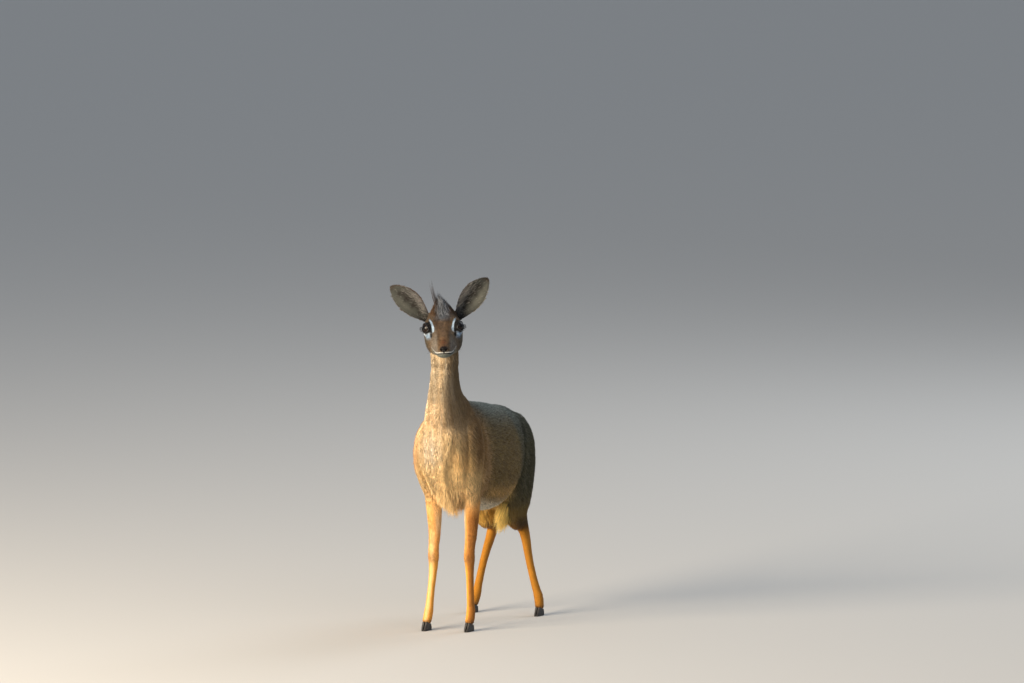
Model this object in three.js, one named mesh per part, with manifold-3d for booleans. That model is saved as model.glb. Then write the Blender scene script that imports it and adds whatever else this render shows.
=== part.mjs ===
// A standing dik-dik doe, life size: a small African antelope with a tufted crown and a short, pointed snout.
// Millimetres, +Z up. The animal faces -Y, its left side is +X, and it stands on Z = 0.
import * as THREE from "three";
import { mergeVertices } from "three/addons/utils/BufferGeometryUtils.js";
import Module from "manifold-3d";

const wasm = await Module();
wasm.setup();

// Driving sizes
const WITHERS = 396; // height of the back over the shoulders
const CROUP = 372; // height of the back over the hips
const EYE_HEIGHT = 536; // height of the eyes in this alert stance
const FACE_TURN = 22; // degrees that the face is turned to the animal's left
const FACE_LIFT = 5; // degrees that the nose is raised
const FACE_ROLL = 3.5; // degrees that the head is tilted, its left side up
const EYE_RADIUS = 11;
const EAR_LENGTH = 84;
const GAP = 0.3; // clearance between neighbouring pieces

const FAWN = "#b98a5c";
const GRIZZLED = "#6f675c";
const TAN = "#c6823f";
const CREAM = "#d9c7a4";
const HORN_BLACK = "#1d1a18";

const v3 = (x, y, z) => new THREE.Vector3(x, y, z);
const mix = THREE.MathUtils.lerp;
const radians = THREE.MathUtils.degToRad;
const SIDES = { right: -1, left: 1 };

// A closed skin from a unit sphere's grid: pointAt(t, angle) places each vertex, with t from 0 to 1, pole to pole.
function sleeve(pointAt, around, along) {
  const geometry = new THREE.SphereGeometry(1, around, along);
  const place = geometry.attributes.position;
  for (let i = 0; i < place.count; i++) {
    const row = Math.floor(i / (around + 1));
    const pole = row === 0 || row === along;
    const column = pole ? 0 : (i % (around + 1)) % around;
    const p = pointAt(row / along, (2 * Math.PI * column) / around);
    place.setXYZ(i, p.x, p.y, p.z);
  }
  return geometry;
}

// The closed solid of a geometry, with its faces pointing out.
function solidOf(geometry) {
  const bare = geometry.clone();
  bare.deleteAttribute("normal");
  bare.deleteAttribute("uv");
  const merged = mergeVertices(bare, 1e-4);
  const corners = new Uint32Array(merged.index.array);
  const at = merged.attributes.position;
  const [a, b, c] = [v3(), v3(), v3()];
  let volume = 0;
  for (let i = 0; i < corners.length; i += 3) {
    a.fromBufferAttribute(at, corners[i]);
    b.fromBufferAttribute(at, corners[i + 1]);
    c.fromBufferAttribute(at, corners[i + 2]);
    volume += a.dot(b.cross(c));
  }
  for (let i = 0; volume < 0 && i < corners.length; i += 3) {
    [corners[i + 1], corners[i + 2]] = [corners[i + 2], corners[i + 1]];
  }
  return new wasm.Manifold(new wasm.Mesh({ numProp: 3, vertProperties: at.array, triVerts: corners }));
}

// The largest closed surface of a solid: what a piece keeps after its cuts.
function largest(solid) {
  return solid.decompose().reduce((a, b) => (a.volume() > b.volume() ? a : b));
}

// Adds up several solids.
const joined = (solids) => solids.reduce((a, b) => a.add(b));

// A box over everything on the +n side of the plane through p
function beyond(p, n) {
  const size = 2 * (EYE_HEIGHT + EAR_LENGTH);
  const box = new THREE.BoxGeometry(size, size, size);
  const turn = new THREE.Quaternion().setFromUnitVectors(v3(0, 0, 1), n.clone().normalize());
  const middle = p.clone().addScaledVector(n.clone().normalize(), size / 2);
  box.applyMatrix4(new THREE.Matrix4().compose(middle, turn, v3(1, 1, 1)));
  return solidOf(box);
}

// Parts a solid with a thin plane cut: the piece on the -n side, then the piece on the +n side.
function parted(solid, p, n) {
  const cut = p.clone().addScaledVector(n.clone().normalize(), -GAP);
  return [largest(solid.subtract(beyond(cut, n))), largest(solid.intersect(beyond(p, n)))];
}

// A smooth run through stations: each key in the list is interpolated along the stations together.
function smoothRun(stations, keys) {
  const curves = [];
  for (let k = 0; k < keys.length; k += 3) {
    const points = stations.map((s) => v3(s[keys[k]] ?? 0, s[keys[k + 1]] ?? 0, s[keys[k + 2]] ?? 0));
    curves.push(new THREE.CatmullRomCurve3(points, false, "catmullrom", 0.5));
  }
  return (t) => {
    const found = {};
    curves.forEach((curve, c) => {
      const p = curve.getPoint(t);
      [p.x, p.y, p.z].forEach((value, i) => (found[keys[3 * c + i]] = value));
    });
    return found;
  };
}

// A rounded, not quite elliptic, outline: power 2 is an ellipse and more is squarer.
function rounded(angle, power) {
  const bend = (value) => Math.sign(value) * Math.abs(value) ** (2 / power);
  return [bend(Math.cos(angle)), bend(Math.sin(angle))];
}

// A loft whose sections stand across one axis, each with its own top, floor, half width and widest height.
function hull(stations, toPlace, { around, along, grow = 0 }) {
  const run = smoothRun(stations, ["at", "top", "floor", "half", "widest", "power"]);
  const last = stations.length - 1;
  return sleeve(
    (t, angle) => {
      const s = run(t);
      const end = t === 0 || t === 1;
      const [side, rise] = rounded(angle, s.power);
      const half = end ? 0 : s.half + grow;
      const reach = rise > 0 ? s.top + grow - s.widest : s.widest - s.floor + grow;
      const shift = end ? Math.sign(t - 0.5) * grow * Math.sign(stations[last].at - stations[0].at) : 0;
      return toPlace(side * half, s.at + shift, s.widest + (end ? 0 : rise * reach));
    },
    around,
    along,
  );
}

// A limb or neck along a smooth path: each station gives its centre and half sizes across and along the body.
function limb(stations, { around, along, grow = 0, sideways = () => v3(1, 0, 0) }) {
  const run = smoothRun(stations, ["x", "y", "z", "across", "along", "power"]);
  const centre = (t) => {
    const s = run(THREE.MathUtils.clamp(t, 0, 1));
    return v3(s.x, s.y, s.z);
  };
  return sleeve(
    (t, angle) => {
      const s = run(t);
      const tangent = centre(t + 0.01).sub(centre(t - 0.01)).normalize();
      const fore = tangent.clone().cross(sideways(t)).normalize();
      const side = fore.clone().cross(tangent).normalize();
      const end = t === 0 || t === 1;
      const [c, d] = rounded(angle, s.power || 2);
      const p = centre(t);
      if (end) return p.addScaledVector(tangent, Math.sign(t - 0.5) * grow);
      return p.addScaledVector(side, c * (s.across + grow)).addScaledVector(fore, d * (s.along + grow));
    },
    around,
    along,
  );
}

// Trunk: sections across the body from the brisket to the rump
const TRUNK = [
  { at: -96, top: 322, floor: 318, half: 2, widest: 320, power: 2 },
  { at: -91, top: 354, floor: 294, half: 22, widest: 320, power: 2 },
  { at: -80, top: 374, floor: 272, half: 37, widest: 316, power: 2 },
  { at: -60, top: 387, floor: 248, half: 47, widest: 308, power: 2 },
  { at: -32, top: WITHERS - 4, floor: 229, half: 52, widest: 300, power: 2 },
  { at: 4, top: WITHERS - 1, floor: 217, half: 54, widest: 292, power: 2 },
  { at: 45, top: WITHERS, floor: 206, half: 58, widest: 286, power: 2 },
  { at: 88, top: WITHERS - 5, floor: 198, half: 62, widest: 280, power: 2.05 },
  { at: 130, top: WITHERS - 11, floor: 194, half: 64, widest: 276, power: 2.05 },
  { at: 170, top: mix(WITHERS - 11, CROUP, 0.6), floor: 199, half: 61, widest: 280, power: 2 },
  { at: 208, top: CROUP, floor: 214, half: 55, widest: 290, power: 2 },
  { at: 242, top: CROUP - 14, floor: 232, half: 47, widest: 298, power: 2 },
  { at: 268, top: CROUP - 38, floor: 252, half: 34, widest: 302, power: 2 },
  { at: 280, top: CROUP - 58, floor: 270, half: 20, widest: 300, power: 2 },
  { at: 285, top: CROUP - 72, floor: 298, half: 2, widest: 299, power: 2 },
];
const trunk = (grow = 0) =>
  solidOf(hull(TRUNK, (side, along, up) => v3(side, along, up), { around: 28, along: 24, grow }));

// The head's own frame: origin between the eyes, x to the animal's left, y back, z up, turned and lifted as a whole.
const headTurn = new THREE.Matrix4()
  .makeRotationZ(radians(FACE_TURN))
  .multiply(new THREE.Matrix4().makeRotationX(radians(-FACE_LIFT)))
  .multiply(new THREE.Matrix4().makeRotationY(radians(-FACE_ROLL)));
const headPlace = new THREE.Matrix4().makeTranslation(18.6, -85, EYE_HEIGHT).multiply(headTurn);
const inHead = (side, forward, up) => v3(side, -forward, up).applyMatrix4(headPlace);
const wayInHead = (side, forward, up) => v3(side, -forward, up).transformDirection(headPlace);

// Head: sections from the nose to the back of the skull, at a distance forward of the eyes
const HEAD = [
  { at: 46, top: -35, floor: -39, half: 1, widest: -37, power: 2 },
  { at: 44.5, top: -32, floor: -43.5, half: 6.5, widest: -38, power: 2 },
  { at: 41, top: -29, floor: -48, half: 10, widest: -39, power: 2.1 },
  { at: 36, top: -25, floor: -51, half: 13, widest: -39.5, power: 2.1 },
  { at: 28, top: -17.5, floor: -52, half: 16, widest: -38, power: 2.1 },
  { at: 18, top: -5, floor: -51.5, half: 20.5, widest: -30, power: 2.1 },
  { at: 8, top: 9, floor: -51, half: 26.5, widest: -16, power: 2.15 },
  { at: 0, top: 18, floor: -50, half: 30.5, widest: -8, power: 2.15 },
  { at: -8, top: 25.5, floor: -49, half: 32, widest: -6, power: 2.1 },
  { at: -20, top: 33, floor: -48, half: 32, widest: -7, power: 2.1 },
  { at: -33, top: 37, floor: -45, half: 31, widest: -3, power: 2 },
  { at: -46, top: 35, floor: -36, half: 28, widest: 2, power: 2 },
  { at: -58, top: 26, floor: -22, half: 20, widest: 3, power: 2 },
  { at: -65, top: 6, floor: 2, half: 2, widest: 4, power: 2 },
];
const EYE_SIDE = 23.8; // an eye's centre, out from the middle of the head
const MOUTH_CORNER = 19; // forward of the eyes
const MOUTH_LINE = -44; // the closed lips, below the eyes at the front

// A soft bump, or with a minus sign a hollow, centred on one place of the head and its mirror image.
function swell(p, { side, forward, up, spread, height }) {
  const distance = Math.hypot(Math.abs(p.side) - side, p.forward - forward, p.up - up);
  return height * Math.exp(-((distance / spread) ** 2));
}
const FACE_FORMS = {
  orbit: { side: 25, forward: 3, up: 3, spread: 14, height: 5 },
  brow: { side: 24, forward: 6, up: 12, spread: 8, height: 2 },
  tearHollow: { side: 19, forward: 17, up: -10, spread: 7, height: -2.4 },
  cheek: { side: 30, forward: -22, up: -24, spread: 15, height: 2 },
  jaw: { side: 24, forward: -10, up: -38, spread: 14, height: 4.5 },
  snout: { side: 8, forward: 32, up: -22, spread: 9, height: 1.4 },
  templeHollow: { side: 28, forward: -22, up: 18, spread: 10, height: -1.5 },
  upperLip: { side: 12, forward: 36, up: -41, spread: 6, height: 0.9 },
};
function faceSkin(side, forward, up) {
  const p = { side, forward, up };
  const lift = Object.values(FACE_FORMS).reduce((sum, form) => sum + swell(p, form), 0);
  const out = v3(side, 0, up + 14).normalize();
  return inHead(side + out.x * lift, forward, up + out.z * lift);
}
const skull = (grow = 0) => solidOf(hull(HEAD, faceSkin, { around: 32, along: 26, grow }));

// A ball or egg in the head's frame
function egg(side, forward, up, [across, along, high], around = 16, rows = 12) {
  return solidOf(
    sleeve(
      (t, angle) =>
        inHead(
          side + across * Math.sin(Math.PI * t) * Math.cos(angle),
          forward + along * Math.sin(Math.PI * t) * Math.sin(angle),
          up + high * Math.cos(Math.PI * t),
        ),
      around,
      rows,
    ),
  );
}
const eyeball = (sign, radius) => egg(sign * EYE_SIDE, 0, 0, [radius, radius, radius]);

// The almond between the lids, as a prism along the way that the eye looks
const LID = { length: 9.6, height: 7.3, thickness: 1.3 };
const SOCKET_DEPTH = 40; // how far the opening is cut outwards
function almond(sign) {
  const outline = new THREE.Shape();
  outline.moveTo(-LID.length, 0);
  outline.quadraticCurveTo(-LID.length * 0.45, LID.height * 1.5, LID.length * 0.35, LID.height * 0.95);
  outline.quadraticCurveTo(LID.length * 0.9, LID.height * 0.6, LID.length, -LID.height * 0.15);
  outline.quadraticCurveTo(LID.length * 0.5, -LID.height * 1.3, -LID.length * 0.2, -LID.height * 0.95);
  outline.quadraticCurveTo(-LID.length * 0.75, -LID.height * 0.6, -LID.length, 0);
  const prism = new THREE.ExtrudeGeometry(outline, {
    depth: SOCKET_DEPTH,
    bevelEnabled: false,
    curveSegments: 7,
  });
  const gaze = wayInHead(sign * 0.8, 0.58, 0.1);
  const outward = wayInHead(sign * 0.5, -0.8, 0.32); // the outer corner is a little higher than the inner
  const up = gaze.clone().cross(outward).multiplyScalar(-sign).normalize();
  const alongLid = outward.clone().addScaledVector(gaze, -outward.dot(gaze)).normalize();
  const middle = inHead(sign * EYE_SIDE, 0, 0);
  prism.applyMatrix4(new THREE.Matrix4().makeBasis(alongLid, up, gaze).setPosition(middle));
  return solidOf(prism);
}

// The closed mouth: a thin slot across the snout that rises to its corners, drawn in profile
const MOUTH = { lips: 0.9, rise: 7, sag: 0.4, bend: 40, front: 60 };
function mouthSlot() {
  const floor = MOUTH_LINE - MOUTH.lips;
  const line = new THREE.Shape();
  line.moveTo(MOUTH.front, MOUTH_LINE);
  line.lineTo(MOUTH.bend, MOUTH_LINE);
  line.quadraticCurveTo(30, MOUTH_LINE - MOUTH.sag, MOUTH_CORNER, MOUTH_LINE + MOUTH.rise);
  line.quadraticCurveTo(30, floor - MOUTH.sag, MOUTH.bend, floor);
  line.lineTo(MOUTH.front, floor);
  return acrossHead(line);
}

// The cut that parts the lower jaw from the head, from the mouth's corner back and down behind the chin
const JAW = { back: -14, under: -62 };
function jawSlot() {
  const start = MOUTH_CORNER + 1.5; // a little inside the mouth's slot
  const corner = MOUTH_LINE + MOUTH.rise;
  const line = new THREE.Shape();
  line.moveTo(start, corner - GAP);
  line.quadraticCurveTo(2, corner + 2, JAW.back, JAW.under);
  line.lineTo(JAW.back - GAP, JAW.under);
  line.quadraticCurveTo(2 - GAP, corner + 2 + 1.6 * GAP, start, corner + GAP);
  return acrossHead(line);
}

// Extrudes a profile drawn as (forward, up) right across the head.
function acrossHead(outline) {
  const width = 90;
  const slab = new THREE.ExtrudeGeometry(outline, { depth: width, bevelEnabled: false, curveSegments: 8 });
  const place = slab.attributes.position;
  for (let i = 0; i < place.count; i++) {
    const p = inHead(place.getZ(i) - width / 2, place.getX(i), place.getY(i));
    place.setXYZ(i, p.x, p.y, p.z);
  }
  return solidOf(slab);
}

// Crest: flat tapered locks on the forehead that overlap and draw together to a leaning point
const CREST = { rings: [1, 4, 6, 7], length: [44, 31, 24, 18], width: 7, thick: 2.2 };
function seeded(seed) {
  let state = seed;
  return () => {
    state = (state * 16807) % 2147483647;
    return state / 2147483647;
  };
}
function lock(root, way, bend, length, width, thick) {
  const side = way.clone().cross(bend).normalize();
  const flat = side.clone().cross(way).normalize();
  return solidOf(
    sleeve(
      (t, angle) => {
        const taper = Math.min(1, 4 * t + 0.3) * (1 - t) ** 0.6 + 0.02;
        const end = t === 0 || t === 1 ? 0 : 1;
        return root
          .clone()
          .addScaledVector(way, length * t)
          .addScaledVector(bend, length * 0.35 * t * t)
          .addScaledVector(side, end * (width / 2) * taper * Math.cos(angle))
          .addScaledVector(flat, end * (thick / 2) * (taper + 0.15) * Math.sin(angle));
      },
      4,
      4,
    ),
  );
}
function crest() {
  const draw = seeded(11);
  const locks = [];
  CREST.rings.forEach((count, ring) => {
    for (let i = 0; i < count; i++) {
      const spin = (2 * Math.PI * (i + 0.5 * (ring % 2))) / count + 0.3 * draw();
      const side = 4.2 * ring * Math.cos(spin);
      const forward = -20 + 5.4 * ring * Math.sin(spin);
      const top = crownHeight(side, forward);
      const way = wayInHead(-0.045 * side - 0.16, -0.3 - 0.02 * (forward + 20), 1);
      const bend = wayInHead(-0.5 - 0.04 * side, -0.6, 0.1);
      const length = CREST.length[ring] * mix(0.88, 1.12, draw());
      locks.push(lock(inHead(side, forward, top - 4.5), way, bend, length + 4, CREST.width, CREST.thick));
    }
  });
  return joined(locks);
}

// The height of the head's upper outline, less its fall to the sides
function crownHeight(side, forward) {
  const after = HEAD.findIndex((s) => s.at < forward);
  const [a, b] = [HEAD[after - 1], HEAD[after]];
  const share = (a.at - forward) / (a.at - b.at);
  const rise = mix(a.top - a.widest, b.top - b.widest, share);
  return mix(a.widest, b.widest, share) + rise * Math.sqrt(1 - (side / mix(a.half, b.half, share)) ** 2);
}

// Ear: a thin leaf-shaped cup, rolled at its root and open to the front, whose tip drifts outwards
const EAR = [
  { t: -0.1, half: 6.5, cup: 8 },
  { t: 0.02, half: 9, cup: 11 },
  { t: 0.13, half: 13.5, cup: 14 },
  { t: 0.3, half: 19.5, cup: 13 },
  { t: 0.5, half: 22.6, cup: 9.5, drift: 0.5 },
  { t: 0.7, half: 19.6, cup: 6, drift: 1.5 },
  { t: 0.86, half: 13, cup: 3.5, drift: 3 },
  { t: 0.96, half: 6.4, cup: 1.4, drift: 4.6 },
  { t: 1, half: 1.2, cup: 0.3, drift: 5.4 },
];
const EAR_WALL = 1.8;
const EAR_LEAN = { left: 37, right: 41 }; // degrees out from upright
const EAR_ROOT = { side: 27.5, forward: -38, up: 16 };
function ear(sign, lean) {
  const root = inHead(sign * EAR_ROOT.side, EAR_ROOT.forward, EAR_ROOT.up);
  const way = wayInHead(sign * Math.sin(radians(lean)), -0.16, Math.cos(radians(lean)));
  const face = wayInHead(sign * 0.3, 1, 0.05);
  const across = way.clone().cross(face).normalize();
  const front = across.clone().cross(way).normalize();
  const run = smoothRun(EAR, ["t", "half", "cup", "drift"]);
  return solidOf(
    sleeve(
      (t, angle) => {
        const s = run(t);
        const end = t === 0 || t === 1;
        const back = angle < Math.PI;
        const swing = (back ? angle / Math.PI : 2 - angle / Math.PI) * 2 - 1; // -1 to 1, rim to rim
        const bow = (1 - swing * swing) * s.cup;
        const depth = back ? bow + EAR_WALL : bow;
        const edge = 1 - 0.06 * Math.abs(swing) ** 6;
        return root
          .clone()
          .addScaledVector(way, EAR_LENGTH * s.t)
          .addScaledVector(front, 4 * Math.sin(Math.PI * t) - (end ? s.cup : depth))
          .addScaledVector(across, sign * s.drift + (end ? 0 : swing * s.half * edge));
      },
      18,
      14,
    ),
  );
}

// Neck: from between the shoulders up to the skull
const NECK = [
  { x: 0, y: 34, z: 318, across: 34, along: 44 },
  { x: 1, y: -6, z: 346, across: 41, along: 61 },
  { x: 3, y: -32, z: 380, across: 36, along: 63 },
  { x: 5, y: -44, z: 411, across: 29, along: 45 },
  { x: 6, y: -47.5, z: 442, across: 25, along: 35 },
  { x: 6, y: -46.5, z: 474, across: 24.5, along: 29.5 },
  { x: 4, y: -46, z: 502, across: 25, along: 28 },
  { x: 3, y: -48, z: 526, across: 22, along: 24 },
  { x: 3, y: -49, z: 544, across: 8, along: 9 },
];
function acrossNeck(t) {
  const twist = radians(FACE_TURN) * THREE.MathUtils.smoothstep(t, 0.4, 0.95);
  return v3(1, 0, 0).applyAxisAngle(v3(0, 0, 1), twist);
}
const neck = (grow = 0) => solidOf(limb(NECK, { around: 20, along: 16, grow, sideways: acrossNeck }));

// Legs: heights of the joints, shared by both sides, then how far out and back each foot stands
const ELBOW = 228;
const KNEE_FORE = 128;
const STIFLE = 200;
const HOCK = 152;
const FETLOCK = 30;
const CORONET = 14;
const FORE_FEET = { right: { x: -43, y: -14 }, left: { x: 30, y: 2 } };
const HIND_FEET = { right: { x: -47, y: 208 }, left: { x: 75, y: 216 } };

function foreleg(side, grow = 0) {
  const s = SIDES[side];
  const foot = FORE_FEET[side];
  const knee = mix(s * 33, foot.x, 0.15);
  const at = (height) => mix(foot.x, knee, (height - CORONET) / (KNEE_FORE - CORONET));
  const stations = [
    { x: s * 26, y: 20, z: 384, across: 3, along: 6 },
    { x: s * 34, y: 10, z: 368, across: 11, along: 24 },
    { x: s * 42, y: -8, z: 335, across: 17, along: 36 },
    { x: s * 42.5, y: -16, z: 300, across: 19.5, along: 38 },
    { x: s * 39, y: -8, z: 266, across: 17.5, along: 31 },
    { x: s * 36.5, y: 2, z: 236, across: 14.5, along: 22 },
    { x: s * 35, y: 4, z: 206, across: 12.5, along: 15.5 },
    { x: s * 34, y: 3, z: 168, across: 10, along: 11.5 },
    { x: knee, y: 0, z: KNEE_FORE + 16, across: 8.6, along: 9.6 },
    { x: knee, y: -1, z: KNEE_FORE, across: 9.2, along: 10 },
    { x: at(104), y: 2, z: 104, across: 6.6, along: 7.6 },
    { x: at(66), y: mix(2, foot.y + 8, 0.5), z: 66, across: 5.8, along: 6.8 },
    { x: at(FETLOCK), y: foot.y + 9, z: FETLOCK + 2, across: 7.2, along: 8.2 },
    { x: foot.x, y: foot.y + 2, z: CORONET, across: 7, along: 8.4 },
    { x: foot.x, y: foot.y - 1, z: 6, across: 4, along: 5 },
  ];
  return solidOf(limb(stations, { around: 14, along: 26, grow }));
}

function hindleg(side, grow = 0) {
  const s = SIDES[side];
  const foot = HIND_FEET[side];
  const hock = { x: s * 28.5, y: 260 };
  const at = (height) => mix(foot.x, hock.x, (height - CORONET) / (HOCK - CORONET));
  const stations = [
    { x: s * 20, y: 214, z: 357, across: 3, along: 8 },
    { x: s * 25, y: 217, z: 343, across: 15, along: 40 },
    { x: s * 31, y: 218, z: 312, across: 24.5, along: 59 },
    { x: s * 33, y: 215, z: 276, across: 27.5, along: 62 },
    { x: s * 33, y: 213, z: 240, across: 27.5, along: 54 },
    { x: s * 31, y: 215, z: 208, across: 25.5, along: 46 },
    { x: s * 29, y: 224, z: 181, across: 19, along: 35 },
    { x: s * 28.5, y: 243, z: 164, across: 12, along: 19.5 },
    { x: hock.x, y: hock.y - 4, z: HOCK - 2, across: 9, along: 13.5 },
    { x: at(HOCK - 22), y: hock.y - 8, z: HOCK - 22, across: 7.6, along: 10.5 },
    { x: at(96), y: mix(hock.y - 12, foot.y + 10, 0.42), z: 96, across: 6.2, along: 8 },
    { x: at(56), y: mix(hock.y - 12, foot.y + 10, 0.8), z: 56, across: 6.2, along: 7.6 },
    { x: at(FETLOCK), y: foot.y + 12, z: FETLOCK + 2, across: 7.6, along: 8.6 },
    { x: foot.x, y: foot.y + 3, z: CORONET, across: 7, along: 8.6 },
    { x: foot.x, y: foot.y, z: 6, across: 4, along: 5 },
  ];
  return solidOf(limb(stations, { around: 14, along: 26, grow }));
}

// Hoof: two pointed claws side by side, each flat underneath, with a steep front wall
const CLAW = { toe: 15, heel: 9, width: 7.4, top: CORONET + 4, split: 0.9 };
const CORONET_SLOPE = v3(0, 0.3, 1); // the hoof's upper edge is higher in front
function claw(foot, half) {
  const wall = new THREE.Shape();
  wall.moveTo(-CLAW.toe, 0);
  wall.lineTo(CLAW.heel, 0);
  wall.quadraticCurveTo(CLAW.heel + 1.6, CLAW.top * 0.4, CLAW.heel - 0.6, CLAW.top);
  wall.lineTo(-6, CLAW.top);
  wall.quadraticCurveTo(-9, CLAW.top * 0.5, -CLAW.toe, 2.2);
  const slab = new THREE.ExtrudeGeometry(wall, {
    depth: CLAW.width,
    steps: 3,
    bevelEnabled: false,
    curveSegments: 3,
  });
  const place = slab.attributes.position;
  for (let i = 0; i < place.count; i++) {
    const [along, up] = [place.getX(i), place.getY(i)];
    const out = place.getZ(i) / CLAW.width; // 0 at the cleft, 1 outside
    const narrow = 1 - 0.5 * Math.max(0, -along / CLAW.toe) ** 1.6 - 0.12 * (up / CLAW.top);
    const round = out * narrow * CLAW.width;
    const draw = 1 - 0.16 * out * out;
    place.setXYZ(i, foot.x + half * (CLAW.split / 2 + round), foot.y + along * draw, up);
  }
  return solidOf(slab);
}

// Tail: short and tapered, hanging close against the rump
const TAIL = [
  { x: 0, y: 270, z: CROUP - 42, across: 5, along: 5 },
  { x: 0, y: 281, z: CROUP - 50, across: 9, along: 7 },
  { x: -1, y: 292, z: CROUP - 66, across: 9.5, along: 6.5 },
  { x: -2, y: 296, z: CROUP - 86, across: 8, along: 5.5 },
  { x: -3, y: 295, z: CROUP - 104, across: 4, along: 3.4 },
  { x: -3, y: 294, z: CROUP - 110, across: 1, along: 1 },
];
const tail = () => solidOf(limb(TAIL, { around: 12, along: 8 }));

// Assembly: each piece is cut clear of what carries it, then named
const BEHIND_SHOULDER = 36; // where the chest ends
const LAST_RIB = 168; // where the rump begins
const MID_NECK = v3(0, -44, 452);
const pieces = [];
const keep = (name, solid, colour) => pieces.push({ name, solid: largest(solid), colour });

const nosePad = (grow) => egg(0, 45.5, -35.6, [8.2 + grow, 4.6 + grow, 5.4 + grow], 14, 10);

function makeHead() {
  const sides = Object.values(SIDES);
  const lids = joined(sides.map((sign) => eyeball(sign, EYE_RADIUS + LID.thickness)));
  const sockets = joined(sides.map((sign) => eyeball(sign, EYE_RADIUS + GAP)));
  const openings = joined(sides.map((sign) => almond(sign)));
  const whole = skull().add(lids).subtract(openings).subtract(sockets);
  const nostrils = joined(sides.map((sign) => egg(sign * 3.4, 45.2, -37.4, [1.7, 2.6, 1.5], 8, 6)));
  const noseField = nosePad(0);
  const noseHole = nosePad(GAP);
  const slit = whole.subtract(mouthSlot());
  const behindJaw = slit.subtract(jawSlot()).decompose();
  behindJaw.sort((a, b) => b.volume() - a.volume());
  keep("nose", behindJaw[0].intersect(noseField).subtract(nostrils), HORN_BLACK);
  keep("head", behindJaw[0].subtract(noseHole).subtract(nostrils).add(crest()), FAWN);
  keep("lower_jaw", behindJaw[1], CREAM);
  for (const [side, sign] of Object.entries(SIDES)) {
    keep(`eye_${side}`, eyeball(sign, EYE_RADIUS), HORN_BLACK);
  }
  const clear = skull(GAP);
  keep("ear_left", ear(1, EAR_LEAN.left).subtract(clear), GRIZZLED);
  keep("ear_right", ear(-1, EAR_LEAN.right).subtract(clear), GRIZZLED);
}

function makeBody() {
  const body = trunk();
  const bodyClear = trunk(GAP);
  const [front, behind] = parted(body, v3(0, BEHIND_SHOULDER, 0), v3(0, 1, 0));
  const [barrel, rump] = parted(behind, v3(0, LAST_RIB, 0), v3(0, 1, 0));
  keep("chest", front, FAWN);
  keep("barrel", barrel, GRIZZLED);
  keep("rump", rump, GRIZZLED);
  const throat = neck().subtract(bodyClear).subtract(skull(GAP));
  const [low, high] = parted(throat, MID_NECK, v3(0, -0.1, 1));
  keep("neck_lower", low, FAWN);
  keep("neck_upper", high, FAWN);
  keep("tail", tail().subtract(bodyClear), GRIZZLED);
  for (const side of Object.keys(SIDES)) {
    makeLeg("fore", side, foreleg(side).subtract(bodyClear).subtract(neck(GAP)), FORE_FEET[side], {
      shoulder: ELBOW,
      forearm: KNEE_FORE - 4,
      cannon: FETLOCK + 12,
    });
    makeLeg("hind", side, hindleg(side).subtract(bodyClear), HIND_FEET[side], {
      thigh: STIFLE,
      gaskin: HOCK - 4,
      cannon: FETLOCK + 12,
    });
  }
}

// Parts a leg at its joints from the top down, and sets its two claws under the pastern.
function makeLeg(which, side, leg, foot, joints) {
  const name = `${which}_${side}`;
  let rest = leg;
  for (const [part, height] of Object.entries(joints)) {
    const [below, above] = parted(rest, v3(0, 0, height), v3(0, 0, 1));
    keep(`${part}_${name}`, above, part === "thigh" ? GRIZZLED : TAN);
    rest = below;
  }
  const ring = v3(foot.x, foot.y, CORONET);
  keep(`pastern_${name}`, parted(rest, ring, CORONET_SLOPE)[1], TAN);
  for (const [label, half] of Object.entries({ outer: SIDES[side], inner: -SIDES[side] })) {
    keep(`claw_${label}_${name}`, parted(claw(foot, half), ring, CORONET_SLOPE)[0], HORN_BLACK);
  }
}

makeHead();
makeBody();

const animal = new THREE.Group();
for (const { name, solid, colour } of pieces) {
  const { vertProperties, triVerts, numProp } = solid.getMesh();
  const geometry = new THREE.BufferGeometry();
  geometry.setAttribute("position", new THREE.BufferAttribute(new Float32Array(vertProperties), numProp));
  geometry.setIndex(new THREE.BufferAttribute(triVerts, 1));
  geometry.computeVertexNormals();
  const finish = new THREE.MeshStandardMaterial({ color: colour, roughness: 0.85, metalness: 0 });
  const mesh = new THREE.Mesh(geometry, finish);
  mesh.name = name;
  animal.add(mesh);
}

// The frame's origin: under the middle of the animal's box, on the floor
const box = new THREE.Box3().setFromObject(animal);
const middle = box.getCenter(v3());
animal.position.set(-middle.x, -middle.y, -box.min.z);

export default animal;
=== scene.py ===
# %% [markdown]
# # A dik-dik doe, life size
# A museum's dik-dik is a skin drawn over a firm body, with glass eyes, real hooves and its own fur.
# The solid body is already there, so this lesson makes what covers it: the skin, the lids, the coat, tuft by
# tuft, and the horn of the hooves. Everything keeps the solid body's frame, in metres, with the animal
# facing -Y and standing on Z = 0.

from math import cos, pi, radians, sin, sqrt

import bmesh
import bpy
import numpy as np
from mathutils import Matrix, Vector
from mathutils.bvhtree import BVHTree


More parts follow.
